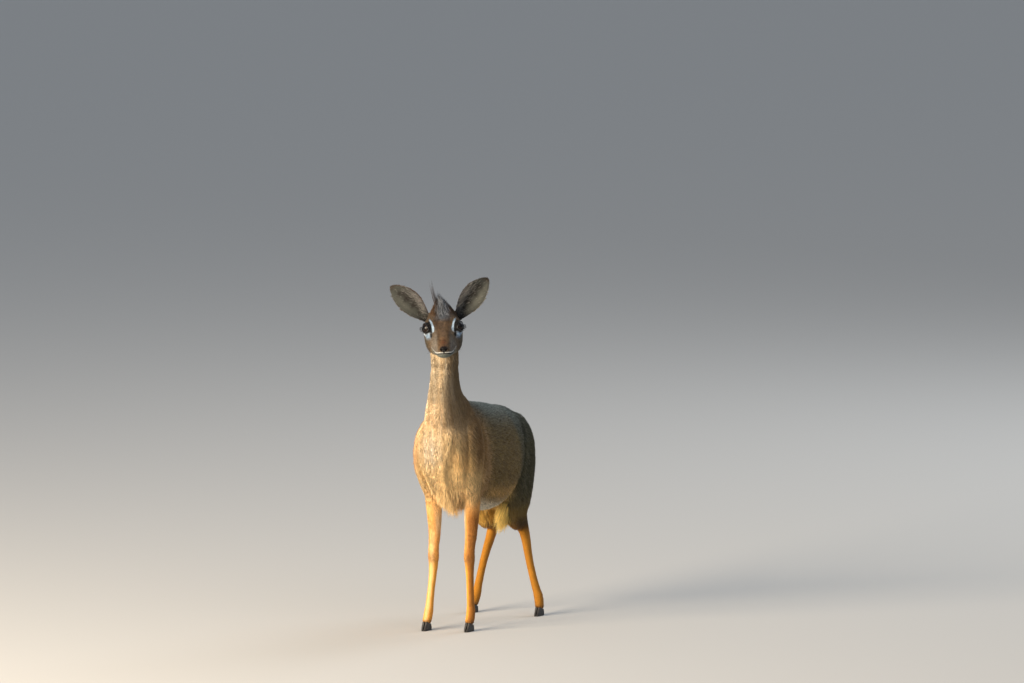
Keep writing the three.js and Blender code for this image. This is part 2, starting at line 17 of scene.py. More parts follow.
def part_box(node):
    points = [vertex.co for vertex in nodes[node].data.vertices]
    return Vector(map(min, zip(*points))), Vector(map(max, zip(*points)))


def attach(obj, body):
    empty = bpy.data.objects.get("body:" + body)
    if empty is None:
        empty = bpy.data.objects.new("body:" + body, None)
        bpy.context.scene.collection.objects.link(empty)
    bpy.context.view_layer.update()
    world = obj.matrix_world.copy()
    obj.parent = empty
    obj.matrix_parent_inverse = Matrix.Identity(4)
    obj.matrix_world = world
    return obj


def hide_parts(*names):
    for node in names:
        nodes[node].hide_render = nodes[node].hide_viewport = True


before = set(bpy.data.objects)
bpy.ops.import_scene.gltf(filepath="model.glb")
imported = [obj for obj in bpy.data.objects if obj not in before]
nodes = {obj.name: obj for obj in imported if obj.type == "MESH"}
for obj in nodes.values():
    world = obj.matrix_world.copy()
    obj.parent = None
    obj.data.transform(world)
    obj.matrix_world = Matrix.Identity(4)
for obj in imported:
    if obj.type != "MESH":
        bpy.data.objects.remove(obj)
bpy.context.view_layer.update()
MM = 0.001
print("solid pieces:", len(nodes))

# %% [markdown]
# The face has its own frame: the middle of the two eyes, turned to the animal's left, nose a little up, and
# tilted. Face features are given there in millimetres as side (to the animal's left), forward and up. They
# could be given in the room's axes instead, but then every number would hide the head's turn.

# %% The head's own frame
FACE_TURN = 22
FACE_LIFT = 5
FACE_ROLL = 3.5
EYE_RADIUS = 11


def middle(node):
    low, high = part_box(node)
    return (low + high) / 2


eye_centre = {"left": middle("eye_left"), "right": middle("eye_right")}
head_turn = (
    Matrix.Rotation(radians(FACE_TURN), 4, "Z")
    @ Matrix.Rotation(radians(-FACE_LIFT), 4, "X")
    @ Matrix.Rotation(radians(-FACE_ROLL), 4, "Y")
)
HEAD = Matrix.Translation((eye_centre["left"] + eye_centre["right"]) / 2) @ head_turn
FROM_ROOM = np.array(HEAD.inverted())
SIGN = {"left": 1, "right": -1}


def in_head(side, forward, up):
    return HEAD @ Vector((side * MM, -forward * MM, up * MM))


def way_in_head(side, forward, up):
    return (head_turn.to_3x3() @ Vector((side, -forward, up))).normalized()


def face_coords(points):
    """Side, forward and up of many room points, in millimetres."""
    local = (points @ FROM_ROOM[:3, :3].T + FROM_ROOM[:3, 3]) / MM
    return local[:, 0], -local[:, 1], local[:, 2]


print("eyes are at height", round(HEAD.translation.z / MM), "mm")

# %% [markdown]
# The skin of a mounted animal is one piece, from the lips to the coronets. The solids are cut into named
# parts with thin gaps, so showing them would show seams. A voxel remesh melts copies of them into one closed
# surface. The head gets small voxels because its lids, lips and thin ears need them, and the body larger
# ones. The two are then bridged round the neck, where nothing but plain neck lies between them.

# %% The parts of the body
HEAD_VOXEL = 1.2 * MM
BODY_VOXEL = 2.9 * MM
GROW = 0.25 * MM
EAR_GROW = 0.8 * MM
LEG_GROW = 1.1 * MM
LEGS = [f"{which}_{side}" for which in ("fore", "hind") for side in ("left", "right")]
LEG_PARTS = {
    "fore": ("shoulder", "forearm", "cannon", "pastern"),
    "hind": ("thigh", "gaskin", "cannon", "pastern"),
}
THIN = ("forearm", "gaskin", "cannon", "pastern")
leg_nodes = [f"{part}_{leg}" for leg in LEGS for part in LEG_PARTS[leg[:4]]]
BODY_NODES = ["neck_upper", "neck_lower", "chest", "barrel", "rump", "tail", *leg_nodes]
print("body parts to melt:", len(BODY_NODES))

# %% Copies of the solid parts
def merged_copy(node):
    """A welded copy of one solid part."""
    bm = bmesh.new()
    bm.from_mesh(nodes[node].data)
    bmesh.ops.remove_doubles(bm, verts=bm.verts, dist=1e-6)
    bm.normal_update()
    return bm


def swollen(bm, amount):
    for vert, normal in [(v, v.normal.copy()) for v in bm.verts]:
        vert.co += normal * amount
    return bm


def as_mesh(bm, name="rough"):
    mesh = bpy.data.meshes.new(name)
    bm.to_mesh(mesh)
    bm.free()
    return mesh


def poured(pieces):
    """One bmesh that holds all the pieces."""
    whole = bmesh.new()
    for piece in pieces:
        mesh = as_mesh(piece)
        whole.from_mesh(mesh)
        bpy.data.meshes.remove(mesh)
    return whole


def remeshed(bm, voxel):
    mesh = as_mesh(bm)
    rough = bpy.data.objects.new("rough", mesh)
    bpy.context.collection.objects.link(rough)
    remesh = rough.modifiers.new("melt", "REMESH")
    remesh.mode = "VOXEL"
    remesh.voxel_size = voxel
    fine = bpy.data.meshes.new_from_object(rough.evaluated_get(bpy.context.evaluated_depsgraph_get()))
    bpy.data.objects.remove(rough)
    bpy.data.meshes.remove(mesh)
    out = bmesh.new()
    out.from_mesh(fine)
    bpy.data.meshes.remove(fine)
    return out


# %% [markdown]
# The solid's crown carries a few coarse locks, which fine hair replaces later. A boolean takes them off with a
# block whose underside has the shape of the bald forehead. A flat cut would be simpler, but it would leave a
# flat skull.

# %% Take the locks off the solid head
CROWN_TOP = 37.2
CROWN_FOOT = -5
CROWN_HALF_WIDTH = 32
CROWN_SIDE = 17
CROWN_BACK, CROWN_FRONT = -42, -1
RAZOR_GAP = 0.4
RAZOR_TOP = 95


def crown_height(side, forward):
    """The bald forehead's height above the eyes' middle."""
    top = CROWN_TOP - ((forward + 36) / 8.2) ** 2
    return CROWN_FOOT + (top - CROWN_FOOT) * sqrt(max(0.0, 1 - (side / CROWN_HALF_WIDTH) ** 2))


def facing_out(bm):
    bmesh.ops.recalc_face_normals(bm, faces=bm.faces)
    if bm.calc_volume(signed=True) < 0:
        bmesh.ops.reverse_faces(bm, faces=bm.faces)
    return bm


def boolean(bm, tool, operation):
    """Cuts or joins one closed bmesh with another."""
    objects = []
    for part in (bm, tool):
        ob = bpy.data.objects.new("part", as_mesh(part))
        bpy.context.collection.objects.link(ob)
        objects.append(ob)
    cut = objects[0].modifiers.new("cut", "BOOLEAN")
    cut.object = objects[1]
    cut.operation = operation
    cut.solver = "MANIFOLD"
    mesh = bpy.data.meshes.new_from_object(objects[0].evaluated_get(bpy.context.evaluated_depsgraph_get()))
    for ob in objects:
        bpy.data.meshes.remove(ob.data)
    out = bmesh.new()
    out.from_mesh(mesh)
    bpy.data.meshes.remove(mesh)
    return out


def razor():
    """A block whose underside follows the bald forehead, and rises clear of the brows round the crest."""
    bm = bmesh.new()
    bmesh.ops.create_grid(bm, x_segments=40, y_segments=40, size=60)
    top = bmesh.ops.extrude_face_region(bm, geom=bm.faces[:])
    for v in [g for g in top["geom"] if isinstance(g, bmesh.types.BMVert)]:
        v.co.z = RAZOR_TOP
    for v in bm.verts:
        side, forward = v.co.x, v.co.y - 20
        if v.co.z < 1:
            clear = 1.2 * max(0, abs(side) - CROWN_SIDE)
            clear += 1.5 * max(0, forward - CROWN_FRONT)
            clear += max(0, CROWN_BACK - forward)
            height = crown_height(min(abs(side), CROWN_SIDE), min(max(forward, CROWN_BACK), CROWN_FRONT))
            v.co.z = height + RAZOR_GAP + clear
        v.co = in_head(side, forward, v.co.z)
    return facing_out(bm)


bald_head = boolean(merged_copy("head"), razor(), "DIFFERENCE")
print("bald head:", len(bald_head.faces), "faces")

# %% Melt the parts into one surface
LID_BALL = 12.2 * MM


def ball(centre, radius, segments=48, rings=32):
    bm = bmesh.new()
    bmesh.ops.create_uvsphere(
        bm, u_segments=segments, v_segments=rings, radius=radius, matrix=Matrix.Translation(centre)
    )
    return bm


head_pieces = [bald_head] + [merged_copy(n) for n in ("lower_jaw", "nose", "neck_upper")]
head_pieces = [swollen(bm, GROW) for bm in head_pieces]
head_pieces += [swollen(merged_copy(n), EAR_GROW) for n in ("ear_left", "ear_right")]
head_pieces += [ball(centre, LID_BALL) for centre in eye_centre.values()]
head_skin = remeshed(poured(head_pieces), HEAD_VOXEL)
body_pieces = [swollen(merged_copy(n), LEG_GROW if n.startswith(THIN) else GROW) for n in BODY_NODES]
body_skin = remeshed(poured(body_pieces), BODY_VOXEL)
print("head faces", len(head_skin.faces), "body faces", len(body_skin.faces))

# %% [markdown]
# The remesh leaves steps as high as a voxel, and a few crumbs inside narrow gaps. Each half is smoothed: much on
# the trunk, whose broad planes must melt into each other, and little on the thin legs, which would shrink. The
# head is pushed back out after every round, so that ears and lids keep their thickness. Then only the largest
# surface of each half is kept, both are sliced level across the neck, the two open rims are bridged, and the
# seam, the withers and the rims of the eye sockets are smoothed once more.

# %% Join the halves and smooth them
SEAM_HEIGHT = 0.470
SEAM_BAND = 0.012
TRUNK_FLOOR = 0.215
WITHERS = Vector((0.0, -0.051, 0.405))
WITHERS_REACH = 0.034
SOCKET_COLLAR = (10.5, 19)
ROUNDS = {"head": 7, "body": 3, "trunk": 22, "seam": 25, "withers": 25, "sockets": 12}


def largest_surface(bm):
    left = set(bm.verts)
    best = set()
    while left:
        stack = [left.pop()]
        island = set(stack)
        while stack:
            for edge in stack.pop().link_edges:
                for vert in edge.verts:
                    if vert in left:
                        left.discard(vert)
                        island.add(vert)
                        stack.append(vert)
        best = max(best, island, key=len)
    bmesh.ops.delete(bm, geom=[v for v in bm.verts if v not in best], context="VERTS")
    return bm


def sliced(bm, height, keep_above):
    bmesh.ops.bisect_plane(
        bm,
        geom=bm.verts[:] + bm.edges[:] + bm.faces[:],
        plane_co=(0, 0, height),
        plane_no=(0, 0, 1),
        clear_inner=keep_above,
        clear_outer=not keep_above,
    )
    return bm


def smooth(bm, chosen, rounds, factor=0.5):
    for _ in range(rounds):
        bmesh.ops.smooth_vert(bm, verts=chosen, factor=factor, use_axis_x=True, use_axis_y=True, use_axis_z=True)


def around_eyes(v, nearest, furthest):
    """Points in a collar round an eye, between two distances in millimetres from its middle."""
    far = min((v.co - c).length for c in eye_centre.values()) / MM
    return nearest < far < furthest


for _ in range(ROUNDS["head"]):
    smooth(head_skin, head_skin.verts[:], 1, 0.6)
    smooth(head_skin, head_skin.verts[:], 1, -0.62)
smooth(body_skin, body_skin.verts[:], ROUNDS["body"])
smooth(body_skin, [v for v in body_skin.verts if v.co.z > TRUNK_FLOOR], ROUNDS["trunk"])
halves = [
    sliced(largest_surface(head_skin), SEAM_HEIGHT + MM, True),
    sliced(largest_surface(body_skin), SEAM_HEIGHT - MM, False),
]
skin_bm = poured(halves)
bmesh.ops.bridge_loops(skin_bm, edges=[e for e in skin_bm.edges if e.is_boundary])
seam = [v for v in skin_bm.verts if abs(v.co.z - SEAM_HEIGHT) < SEAM_BAND and v.co.y < 0]
smooth(skin_bm, seam, ROUNDS["seam"])
near_withers = [v for v in skin_bm.verts if (v.co - WITHERS).length < WITHERS_REACH]
smooth(skin_bm, near_withers, ROUNDS["withers"])
smooth(skin_bm, [v for v in skin_bm.verts if around_eyes(v, *SOCKET_COLLAR)], ROUNDS["sockets"])
facing_out(skin_bm)
print("skin faces", len(skin_bm.faces), "open edges", sum(e.is_boundary for e in skin_bm.edges))

# %% [markdown]
# A sculptor would now press the lids, the mouth and the nostrils into the clay. Here the muzzle's faces are
# divided once more, and each form moves the points near it along their normals by a smooth amount. A form is
# one line: where its middle is, how wide it spreads and how far it rises, or sinks with a minus sign.

# %% Divide the muzzle and the eyelids
MUZZLE_BACK, MUZZLE_TOP = 20, -31
LID_COLLAR = (0, 13.6)


def fine_region(bm, test):
    faces = [f for f in bm.faces if all(test(v) for v in f.verts)]
    edges = {e for f in faces for e in f.edges}
    bmesh.ops.subdivide_edges(bm, edges=list(edges), cuts=1, use_grid_fill=True)


to_head = HEAD.inverted()


def on_muzzle(v):
    p = to_head @ v.co / MM
    return -p.y > MUZZLE_BACK and p.z < MUZZLE_TOP


fine_region(skin_bm, lambda v: on_muzzle(v) or around_eyes(v, *LID_COLLAR))
bmesh.ops.triangulate(skin_bm, faces=skin_bm.faces)
skin_mesh = as_mesh(skin_bm, "skin")
print("skin triangles", len(skin_mesh.polygons))

# %% Read and move the skin's points as arrays
def points_of(mesh):
    co = np.empty(len(mesh.vertices) * 3, np.float32)
    mesh.vertices.foreach_get("co", co)
    return co.reshape(-1, 3).astype(float)


def corners_of(mesh):
    corners = np.empty(len(mesh.polygons) * 3, np.int32)
    mesh.polygons.foreach_get("vertices", corners)
    return corners.reshape(-1, 3)


def normals_at(points, corners):
    a, b, c = (points[corners[:, k]] for k in range(3))
    face = np.cross(b - a, c - a)
    total = np.zeros_like(points)
    for k in range(3):
        for axis in range(3):
            total[:, axis] += np.bincount(corners[:, k], face[:, axis], len(points))
    return total / (np.linalg.norm(total, axis=1, keepdims=True) + 1e-12)


def ramp(low, high, value):
    """0 below low, 1 above high, and smooth between."""
    t = np.clip((value - low) / (high - low), 0, 1)
    return t * t * (3 - 2 * t)


def dip(distance, width):
    """1 where the distance is 0, and less the further away, like a bell."""
    return np.exp(-((distance / width) ** 2))


def plateau(distance, width):
    """As dip, with a flatter top and a steeper edge."""
    return np.exp(-((distance / width) ** 4))


skin_points = points_of(skin_mesh)
triangles = corners_of(skin_mesh)
print("points", len(skin_points), "triangles", len(triangles))

# %% [markdown]
# A dik-dik's eye is a large dark almond under a heavy upper lid. The opening is drawn flat, in the plane that
# the eye looks through, and its distance from the middle is kept for every direction, so that one subtraction
# tells how far any point lies outside the lid's edge. Points inside the opening go down behind the eyeball's
# surface. Just outside it they stay at the lid's thickness, and a crease runs above and under.

# %% The lids' opening
LID_LENGTH = 9.6
LID_HEIGHT = 7.3


def bent(start, pull, end, steps=14):
    """A curve from start to end, drawn towards pull."""
    t = np.linspace(0, 1, steps, endpoint=False)[:, None]
    return (1 - t) ** 2 * np.array(start) + 2 * t * (1 - t) * np.array(pull) + t * t * np.array(end)


L, H = LID_LENGTH, LID_HEIGHT
inner, brow_end = (-L, 0), (0.35 * L, 0.95 * H)
outer, low_end = (L, -0.15 * H), (-0.2 * L, -0.95 * H)
almond = np.vstack(
    [
        bent(inner, (-0.45 * L, 1.5 * H), brow_end),
        bent(brow_end, (0.9 * L, 0.6 * H), outer),
        bent(outer, (0.5 * L, -1.3 * H), low_end),
        bent(low_end, (-0.75 * L, -0.6 * H), inner),
    ]
)
almond_angle = np.arctan2(almond[:, 1], almond[:, 0])
almond_reach = np.hypot(almond[:, 0], almond[:, 1])
turned = np.argsort(almond_angle)


def eye_axes(side):
    """Along the lids outwards, up, and the way that the eye looks."""
    s = SIGN[side]
    gaze = way_in_head(s * 0.8, 0.58, 0.1)
    outward = way_in_head(s * 0.5, -0.8, 0.32)
    up = (gaze.cross(outward) * -s).normalized()
    along = (outward - gaze * outward.dot(gaze)).normalized()
    return np.array([along, up, gaze])


def lid_coords(points, side):
    """Millimetres outside the lid's edge, distance from the eye's middle, and the eye's own coordinates."""
    local = (points - np.array(eye_centre[side])) @ eye_axes(side).T / MM
    angle = np.arctan2(local[:, 1], local[:, 0])
    reach = np.interp(angle, almond_angle[turned], almond_reach[turned], period=2 * pi)
    return np.hypot(local[:, 0], local[:, 1]) - reach, np.linalg.norm(local, axis=1), local


print("opening", np.ptp(almond, axis=0).round(1), "mm, in", len(almond), "points")

# %% Press in the lids
SOCKET = 9.4
LID_EDGE = -0.1
LID_BAND = 2.2
LID_NEAREST = 11.6

for side in SIGN:
    outside, far, local = lid_coords(skin_points, side)
    front = (local[:, 2] > 0) & (far < 17)
    centre = np.array(eye_centre[side])
    way = (skin_points - centre) / (far[:, None] * MM)
    hidden = front & (outside < LID_EDGE)
    skin_points[hidden] = centre + way[hidden] * SOCKET * MM
    edge = front & (outside >= LID_EDGE) & (outside < LID_BAND)
    thick = 11.7 + 0.5 * ramp(0, 1.2, outside)
    blend = ramp(LID_BAND, 1.0, outside)
    wanted = blend * thick + (1 - blend) * far
    skin_points[edge] = centre + way[edge] * (np.maximum(wanted, LID_NEAREST)[edge, None] * MM)
    upper = ramp(0.5, 3, local[:, 1])
    crease = 0.75 * dip(outside - 3.4, 0.9) * upper
    brow = 0.7 * dip(outside - 6.0, 1.8) * upper
    under = 0.45 * dip(outside - 2.9, 0.9) * ramp(0, -3, local[:, 1])
    lift = np.where(front, brow - crease - under, 0) * MM
    skin_points += way * lift[:, None]
    print(side, "eye:", int(hidden.sum()), "points behind the ball,", int(edge.sum()), "on the lids")

# %% [markdown]
# The mouth is a thin line that starts under the nostrils and rises to its corners, with soft lips above and
# below. The nostrils are commas: a round hole in front that trails back and up. The bare gland before each eye
# is a shallow slit. All are pressed in along the normals.

# %% Mouth, nostrils and glands
MOUTH_CORNER = 19
MOUTH_FRONT = 40
MOUTH_LINE = -44.5
MOUTH_RISE = 7
GLAND = {"side": 20.8, "forward": 12.0, "up": -13.5}


def mouth_height(forward):
    """The closed lips' height, level in front and rising to the corners."""
    back = np.clip((MOUTH_FRONT - forward) / (MOUTH_FRONT - MOUTH_CORNER), 0, 1.2)
    return MOUTH_LINE + MOUTH_RISE * back**2


skin_normals = normals_at(skin_points, triangles)
side_mm, forward_mm, up_mm = face_coords(skin_points)
abs_side = np.abs(side_mm)
on_mouth = ramp(MOUTH_CORNER - 1.5, MOUTH_CORNER + 2, forward_mm)
to_line = up_mm - mouth_height(forward_mm)
press = -1.5 * dip(to_line, 0.75) * on_mouth
press += 0.7 * dip(to_line - 2.2, 1.5) * on_mouth + 0.6 * dip(to_line + 2.1, 1.4) * on_mouth
cleft = dip(side_mm, 0.8) * ramp(-44, -41, up_mm) * ramp(-36.5, -38.5, up_mm) * ramp(40, 43, forward_mm)
press -= 0.8 * cleft


def nostril_distance():
    """Distance from the comma's line: from the hole beside the nose's middle back and up the side."""
    far = np.full(len(skin_points), 99.0)
    for t in np.linspace(0, 1, 7):
        side = 3.6 + 2.6 * t - 0.9 * t * t
        forward = 45.6 - 4.2 * t * t
        up = -38.2 + 1.2 * t + 2.4 * t * t
        reach = np.sqrt((abs_side - side) ** 2 + (forward_mm - forward) ** 2 + (up_mm - up) ** 2)
        far = np.minimum(far, reach / (1 - 0.45 * t))
    return far


in_nostril = nostril_distance()
press -= 2.6 * dip(in_nostril, 1.25)
press += 0.5 * dip(in_nostril - 2.8, 1.0)
gland_far = np.sqrt(
    (abs_side - GLAND["side"]) ** 2
    + (forward_mm - GLAND["forward"]) ** 2 / 3
    + (up_mm - GLAND["up"]) ** 2 / 1.6
)
press -= 0.9 * dip(gland_far, 1.9)
in_face = ramp(-10, 0, forward_mm) * ramp(-80, -70, up_mm) * (skin_points[:, 2] > SEAM_HEIGHT)
skin_points += skin_normals * (press * in_face * MM)[:, None]
print("deepest press", round(float(press.min()), 2), "mm")

# %% [markdown]
# The coat isn't one length. It is a millimetre on the muzzle and more than a centimetre on the haunches, so
# each body part gets its own length, depth, spacing and width, and these are then averaged along the skin
# until no border between parts shows. The part that a point belongs to is the solid that lies nearest to it.

# %% Which part each point of the skin belongs to
KINDS = [
    "head", "lower_jaw", "nose", "ear", "neck", "chest", "barrel", "rump", "tail",
    "shoulder", "forearm", "thigh", "gaskin", "cannon", "pastern",
]


def kind_of(node):
    return next(i for i, kind in enumerate(KINDS) if node.startswith(kind))


flesh = ["head", "lower_jaw", "nose", "ear_left", "ear_right", *BODY_NODES]
flesh_bm = bmesh.new()
owners = []
for node in flesh:
    flesh_bm.from_mesh(nodes[node].data)
    owners += [kind_of(node)] * len(nodes[node].data.polygons)
flesh_bm.faces.ensure_lookup_table()
flesh_tree = BVHTree.FromBMesh(flesh_bm)
flesh_bm.free()
owners = np.array(owners)
nearest_face = np.array([flesh_tree.find_nearest(p)[2] for p in skin_points.tolist()])
kind = owners[nearest_face]
print({KINDS[k]: int((kind == k).sum()) for k in range(len(KINDS))})

# %% [markdown]
# Averaging is what makes one animal of the parts. Each round mixes a point's value with its neighbours' mean, so
# the number of rounds says how wide a border becomes. It serves for lengths, colours and directions alike.

# %% Average values along the skin
edges = np.vstack([triangles[:, [0, 1]], triangles[:, [1, 2]], triangles[:, [2, 0]]])
neighbours = np.bincount(edges[:, 0], minlength=len(skin_points))


def softened(values, rounds):
    """Each round mixes every point's value with the mean of its neighbours' values."""
    values = np.array(values, float)
    flat = values.reshape(len(values), -1)
    for _ in range(rounds):
        total = np.stack(
            [np.bincount(edges[:, 0], flat[edges[:, 1], k], len(flat)) for k in range(flat.shape[1])], axis=1
        )
        flat = 0.5 * flat + 0.5 * total / neighbours[:, None]
    return flat.reshape(values.shape)


def of_kind(*names):
    """True at the points that belong to parts of these kinds."""
    return np.isin(kind, [KINDS.index(n) for n in names])


print("neighbours per point:", round(float(neighbours.mean()), 2))

# %% [markdown]
# A thin animal shows where its legs join the trunk: a fold of skin in front of the thigh, a softer one round the
# shoulder, and two furrows down the breast between the muscles. All three are sunk along the normals, the folds
# along the averaged borders of their parts and the furrows between two given ends.

# %% Press in the folds and the furrows
def fold(kind_name, rounds, depth, where):
    """Sinks the skin along the border of a part, by a depth in millimetres, and gives the line back."""
    global skin_points
    share = softened(of_kind(kind_name).astype(float), rounds)
    line = dip(share - 0.45, 0.22) * where
    skin_points = skin_points - normals_at(skin_points, triangles) * (depth * line * MM)[:, None]
    return line


heights = skin_points[:, 2] / MM
depths = skin_points[:, 1] / MM
by_flank = ramp(200, 225, heights) * ramp(352, 330, heights) * ramp(140, 115, depths)
thigh_fold = fold("thigh", 12, 2.6, by_flank)
shoulder_fold = fold("shoulder", 12, 1.5, ramp(232, 250, heights) * ramp(370, 345, heights))


def groove(top, bottom, width, depth):
    """A soft furrow down the breast, between two (x, z) ends in millimetres, deepest in its middle."""
    global skin_points
    t = (heights - bottom[1]) / (top[1] - bottom[1])
    middle = bottom[0] + (top[0] - bottom[0]) * t
    facing = ramp(0.1, 0.6, -normals_at(skin_points, triangles)[:, 1]) * ramp(-75, -100, depths)
    line = dip(skin_points[:, 0] / MM - middle, width) * dip(t - 0.45, 0.42) * facing
    skin_points = skin_points - normals_at(skin_points, triangles) * (depth * line * MM)[:, None]
    return line


breast_grooves = groove((42, 345), (22, 215), 8, 6.5) + groove((-34, 330), (-19, 215), 7, 5.5)
print("folds pressed in", round(float(thigh_fold.max()), 2), round(float(shoulder_fold.max()), 2))

# %% The coat's length, depth, tufts per square centimetre and tuft width, in millimetres
COAT = {
    "head": (3.2, 0.8, 82, 0.5),
    "lower_jaw": (2.4, 0.6, 82, 0.5),
    "nose": (0.5, 0.2, 60, 0.3),
    "ear": (2.2, 0.4, 76, 0.45),
    "neck": (10, 1.9, 54, 0.8),
    "chest": (16, 2.8, 46, 0.95),
    "barrel": (12, 3.0, 38, 1.0),
    "rump": (12.5, 3.2, 38, 1.05),
    "tail": (17, 3.0, 60, 0.9),
    "shoulder": (12, 2.4, 46, 0.9),
    "forearm": (5, 0.9, 46, 0.65),
    "thigh": (12, 2.8, 38, 1.0),
    "gaskin": (8, 1.6, 46, 0.75),
    "cannon": (2.8, 0.35, 50, 0.5),
    "pastern": (4.2, 0.35, 60, 0.5),
}
COAT_ROUNDS = 14
table = np.array([COAT[k] for k in KINDS])[kind]
hair_length, coat_depth, tuft_density, tuft_width = softened(table, COAT_ROUNDS).T
print("hair", hair_length.min().round(1), "to", hair_length.max().round(1), "mm long")

# %% [markdown]
# On the muzzle the hair grows shorter and finer towards the nose. Under the chin and behind the jaw it is longer
# again, as the neck's is, so that no border shows there. At the lids there is none, so the coat's depth runs out
# to nothing. Last, the skin sinks by the coat's depth, and the hair's ends come back to the solids' surface.

# %% Fit the coat to the face and sink the skin
side_mm, forward_mm, up_mm = face_coords(skin_points)
abs_side = np.abs(side_mm)
facial = of_kind("head", "lower_jaw", "nose")
muzzle = ramp(2, 36, forward_mm) * facial
hair_length *= 1 - 0.6 * muzzle
coat_depth *= 1 - 0.55 * muzzle
tuft_width *= 1 - 0.25 * muzzle
seen_from = [lid_coords(skin_points, s) for s in SIGN]
lid_gap = np.minimum(*[np.where(c[2][:, 2] > 0, c[0], 99) for c in seen_from])
lid_along, lid_up = (np.where(side_mm > 0, seen_from[0][2][:, k], seen_from[1][2][:, k]) for k in (0, 1))
behind_lids = lid_gap < 0.4
throat = of_kind("head", "lower_jaw") & ((up_mm < -46) & (forward_mm < 10) | (forward_mm < -56))
neck_hair = of_kind("neck") | throat
soft_throat = softened(throat.astype(float), 5)
hair_length += 4.5 * soft_throat
tuft_width += 0.25 * soft_throat
coat_depth *= ramp(0, 3, lid_gap)
skin_normals = normals_at(skin_points, triangles)
skin_points -= skin_normals * (coat_depth * ~behind_lids * MM)[:, None]
skin_normals = normals_at(skin_points, triangles)
print("coat depth", coat_depth.min().round(2), "to", coat_depth.max().round(2), "mm")

# %% [markdown]
# Hair lies along lines that start at the nose, part over the face and run back over the body and down the
# legs. A direction is given for each part, averaged as the lengths were, and laid flat on the skin. Combing by
# hand would show every stroke, but it would have to be done again after each change of a shape.

# %% The lie of the hair
Y_MM = skin_points[:, 1] / MM
Z_MM = skin_points[:, 2] / MM
X_MM = skin_points[:, 0] / MM
LIE_ROUNDS = 16
EAR_ROOT = (27.5, -38, 16)
EAR_LEAN = {"left": 36.5, "right": 41.5}


def ear_axes(side):
    """Root, then the ear's ways: up to its tip, across, and out of the cup."""
    s = SIGN[side]
    lean = radians(EAR_LEAN[side])
    way = way_in_head(s * sin(lean), -0.16, cos(lean))
    face = way_in_head(s * 0.3, 1, 0.05)
    across = way.cross(face).normalized()
    root = in_head(s * EAR_ROOT[0], *EAR_ROOT[1:])
    return np.array(root), np.array(way), np.array(across), np.array(across.cross(way))


def towards(*way):
    way = np.array(way, float)
    return way / np.linalg.norm(way)


lie = np.zeros_like(skin_points)
down_flank = np.clip((385 - Z_MM) / 170, 0.02, 0.95)
over_rump = ramp(95, 175, Y_MM)
trunk = of_kind("chest", "barrel", "rump")
back_and_down = np.stack([0 * Y_MM, 1 - 0.75 * over_rump, -down_flank - 0.6 * over_rump], axis=1)
lie[trunk] = back_and_down[trunk]
breast = of_kind("chest") * ramp(-118, -150, Y_MM)
lie += breast[:, None] * (towards(0, -0.15, -1) - lie)
under = trunk * ramp(-0.55, -0.9, skin_normals[:, 2])
lie += under[:, None] * (towards(0, 1, -0.1) - lie)
BACKWARDS = {
    "neck": 0.22, "shoulder": 0.5, "forearm": 0.25, "gaskin": 0.25, "cannon": 0.12, "pastern": 0.12,
    "thigh": 0.55, "tail": 0.12,
}
for name, back in BACKWARDS.items():
    lie[of_kind(name)] = towards(0, back, -1)
nose_tip = np.array(in_head(0, 50, -34))
from_nose = (skin_points - nose_tip) / np.linalg.norm(skin_points - nose_tip, axis=1, keepdims=True)
lie[facial] = from_nose[facial]
for side in SIGN:
    root, way, across, out = ear_axes(side)
    rel = skin_points - root
    mine = of_kind("ear") & ((side_mm > 0) == (side == "left"))
    spread = (rel @ across)[:, None] * across / (18 * MM)
    lie[mine] = (way + 0.45 * spread)[mine]
lie = softened(lie, LIE_ROUNDS)
lie -= skin_normals * (lie * skin_normals).sum(axis=1, keepdims=True)
lie /= np.linalg.norm(lie, axis=1, keepdims=True) + 1e-9
print("on the back the hair lies", lie[trunk & (skin_normals[:, 2] > 0.9)].mean(axis=0).round(2))

# %% [markdown]
# The markings are painted by rule, one mask for each: where it is, and how softly it ends. The same colours go
# to the skin and to the tufts that grow on it, so a thin place in the coat never shows another colour. The coat
# starts from one colour for each part, averaged widely on the trunk and narrowly on the face and the lower legs.

# %% Ground colours of the coat
def tint(code):
    """A colour code as the linear values that a shader mixes."""
    srgb = np.array([int(code[i : i + 2], 16) / 255 for i in (0, 2, 4)])
    return np.where(srgb <= 0.04045, srgb / 12.92, ((srgb + 0.055) / 1.055) ** 2.4)


BASE = {
    # The head's ground colour is painted shade: far darker than the face's own brown.
    "head": "54432f",
    "lower_jaw": "8d8571",
    "nose": "1c1818",
    "ear": "5c4734",
    "neck": "a68a66",
    "chest": "e0b47c",
    "barrel": "6a5a36",
    "rump": "5c5b46",
    "tail": "6f6047",
    "shoulder": "ab8350",
    "forearm": "e4a65a",
    "thigh": "5c573e",
    "gaskin": "7f6838",
    "cannon": "dc9c42",
    "pastern": "d89640",
}
colours = np.array([tint(BASE[k]) for k in KINDS])[kind]
TRUNK_AND_TOPS = ("chest", "barrel", "rump", "shoulder", "thigh")
on_trunk = softened(of_kind(*TRUNK_AND_TOPS).astype(float), 10)
nape = of_kind("head", "lower_jaw") & ((up_mm < -38) & (forward_mm < 2) | (forward_mm < -58))
broad = of_kind(*TRUNK_AND_TOPS, "gaskin", "forearm", "neck") | nape
broad = softened(broad.astype(float), 10)
near, wide = softened(colours, 14), softened(colours, 110)
colours = near + broad[:, None] * (wide - near)


def paint(code, mask):
    """Mixes a colour over the coat, wholly where the mask is 1."""
    global colours
    colours = colours + np.clip(mask, 0, 1)[:, None] * (tint(code) - colours)


print("ground colours", colours.min().round(3), "to", colours.max().round(3))
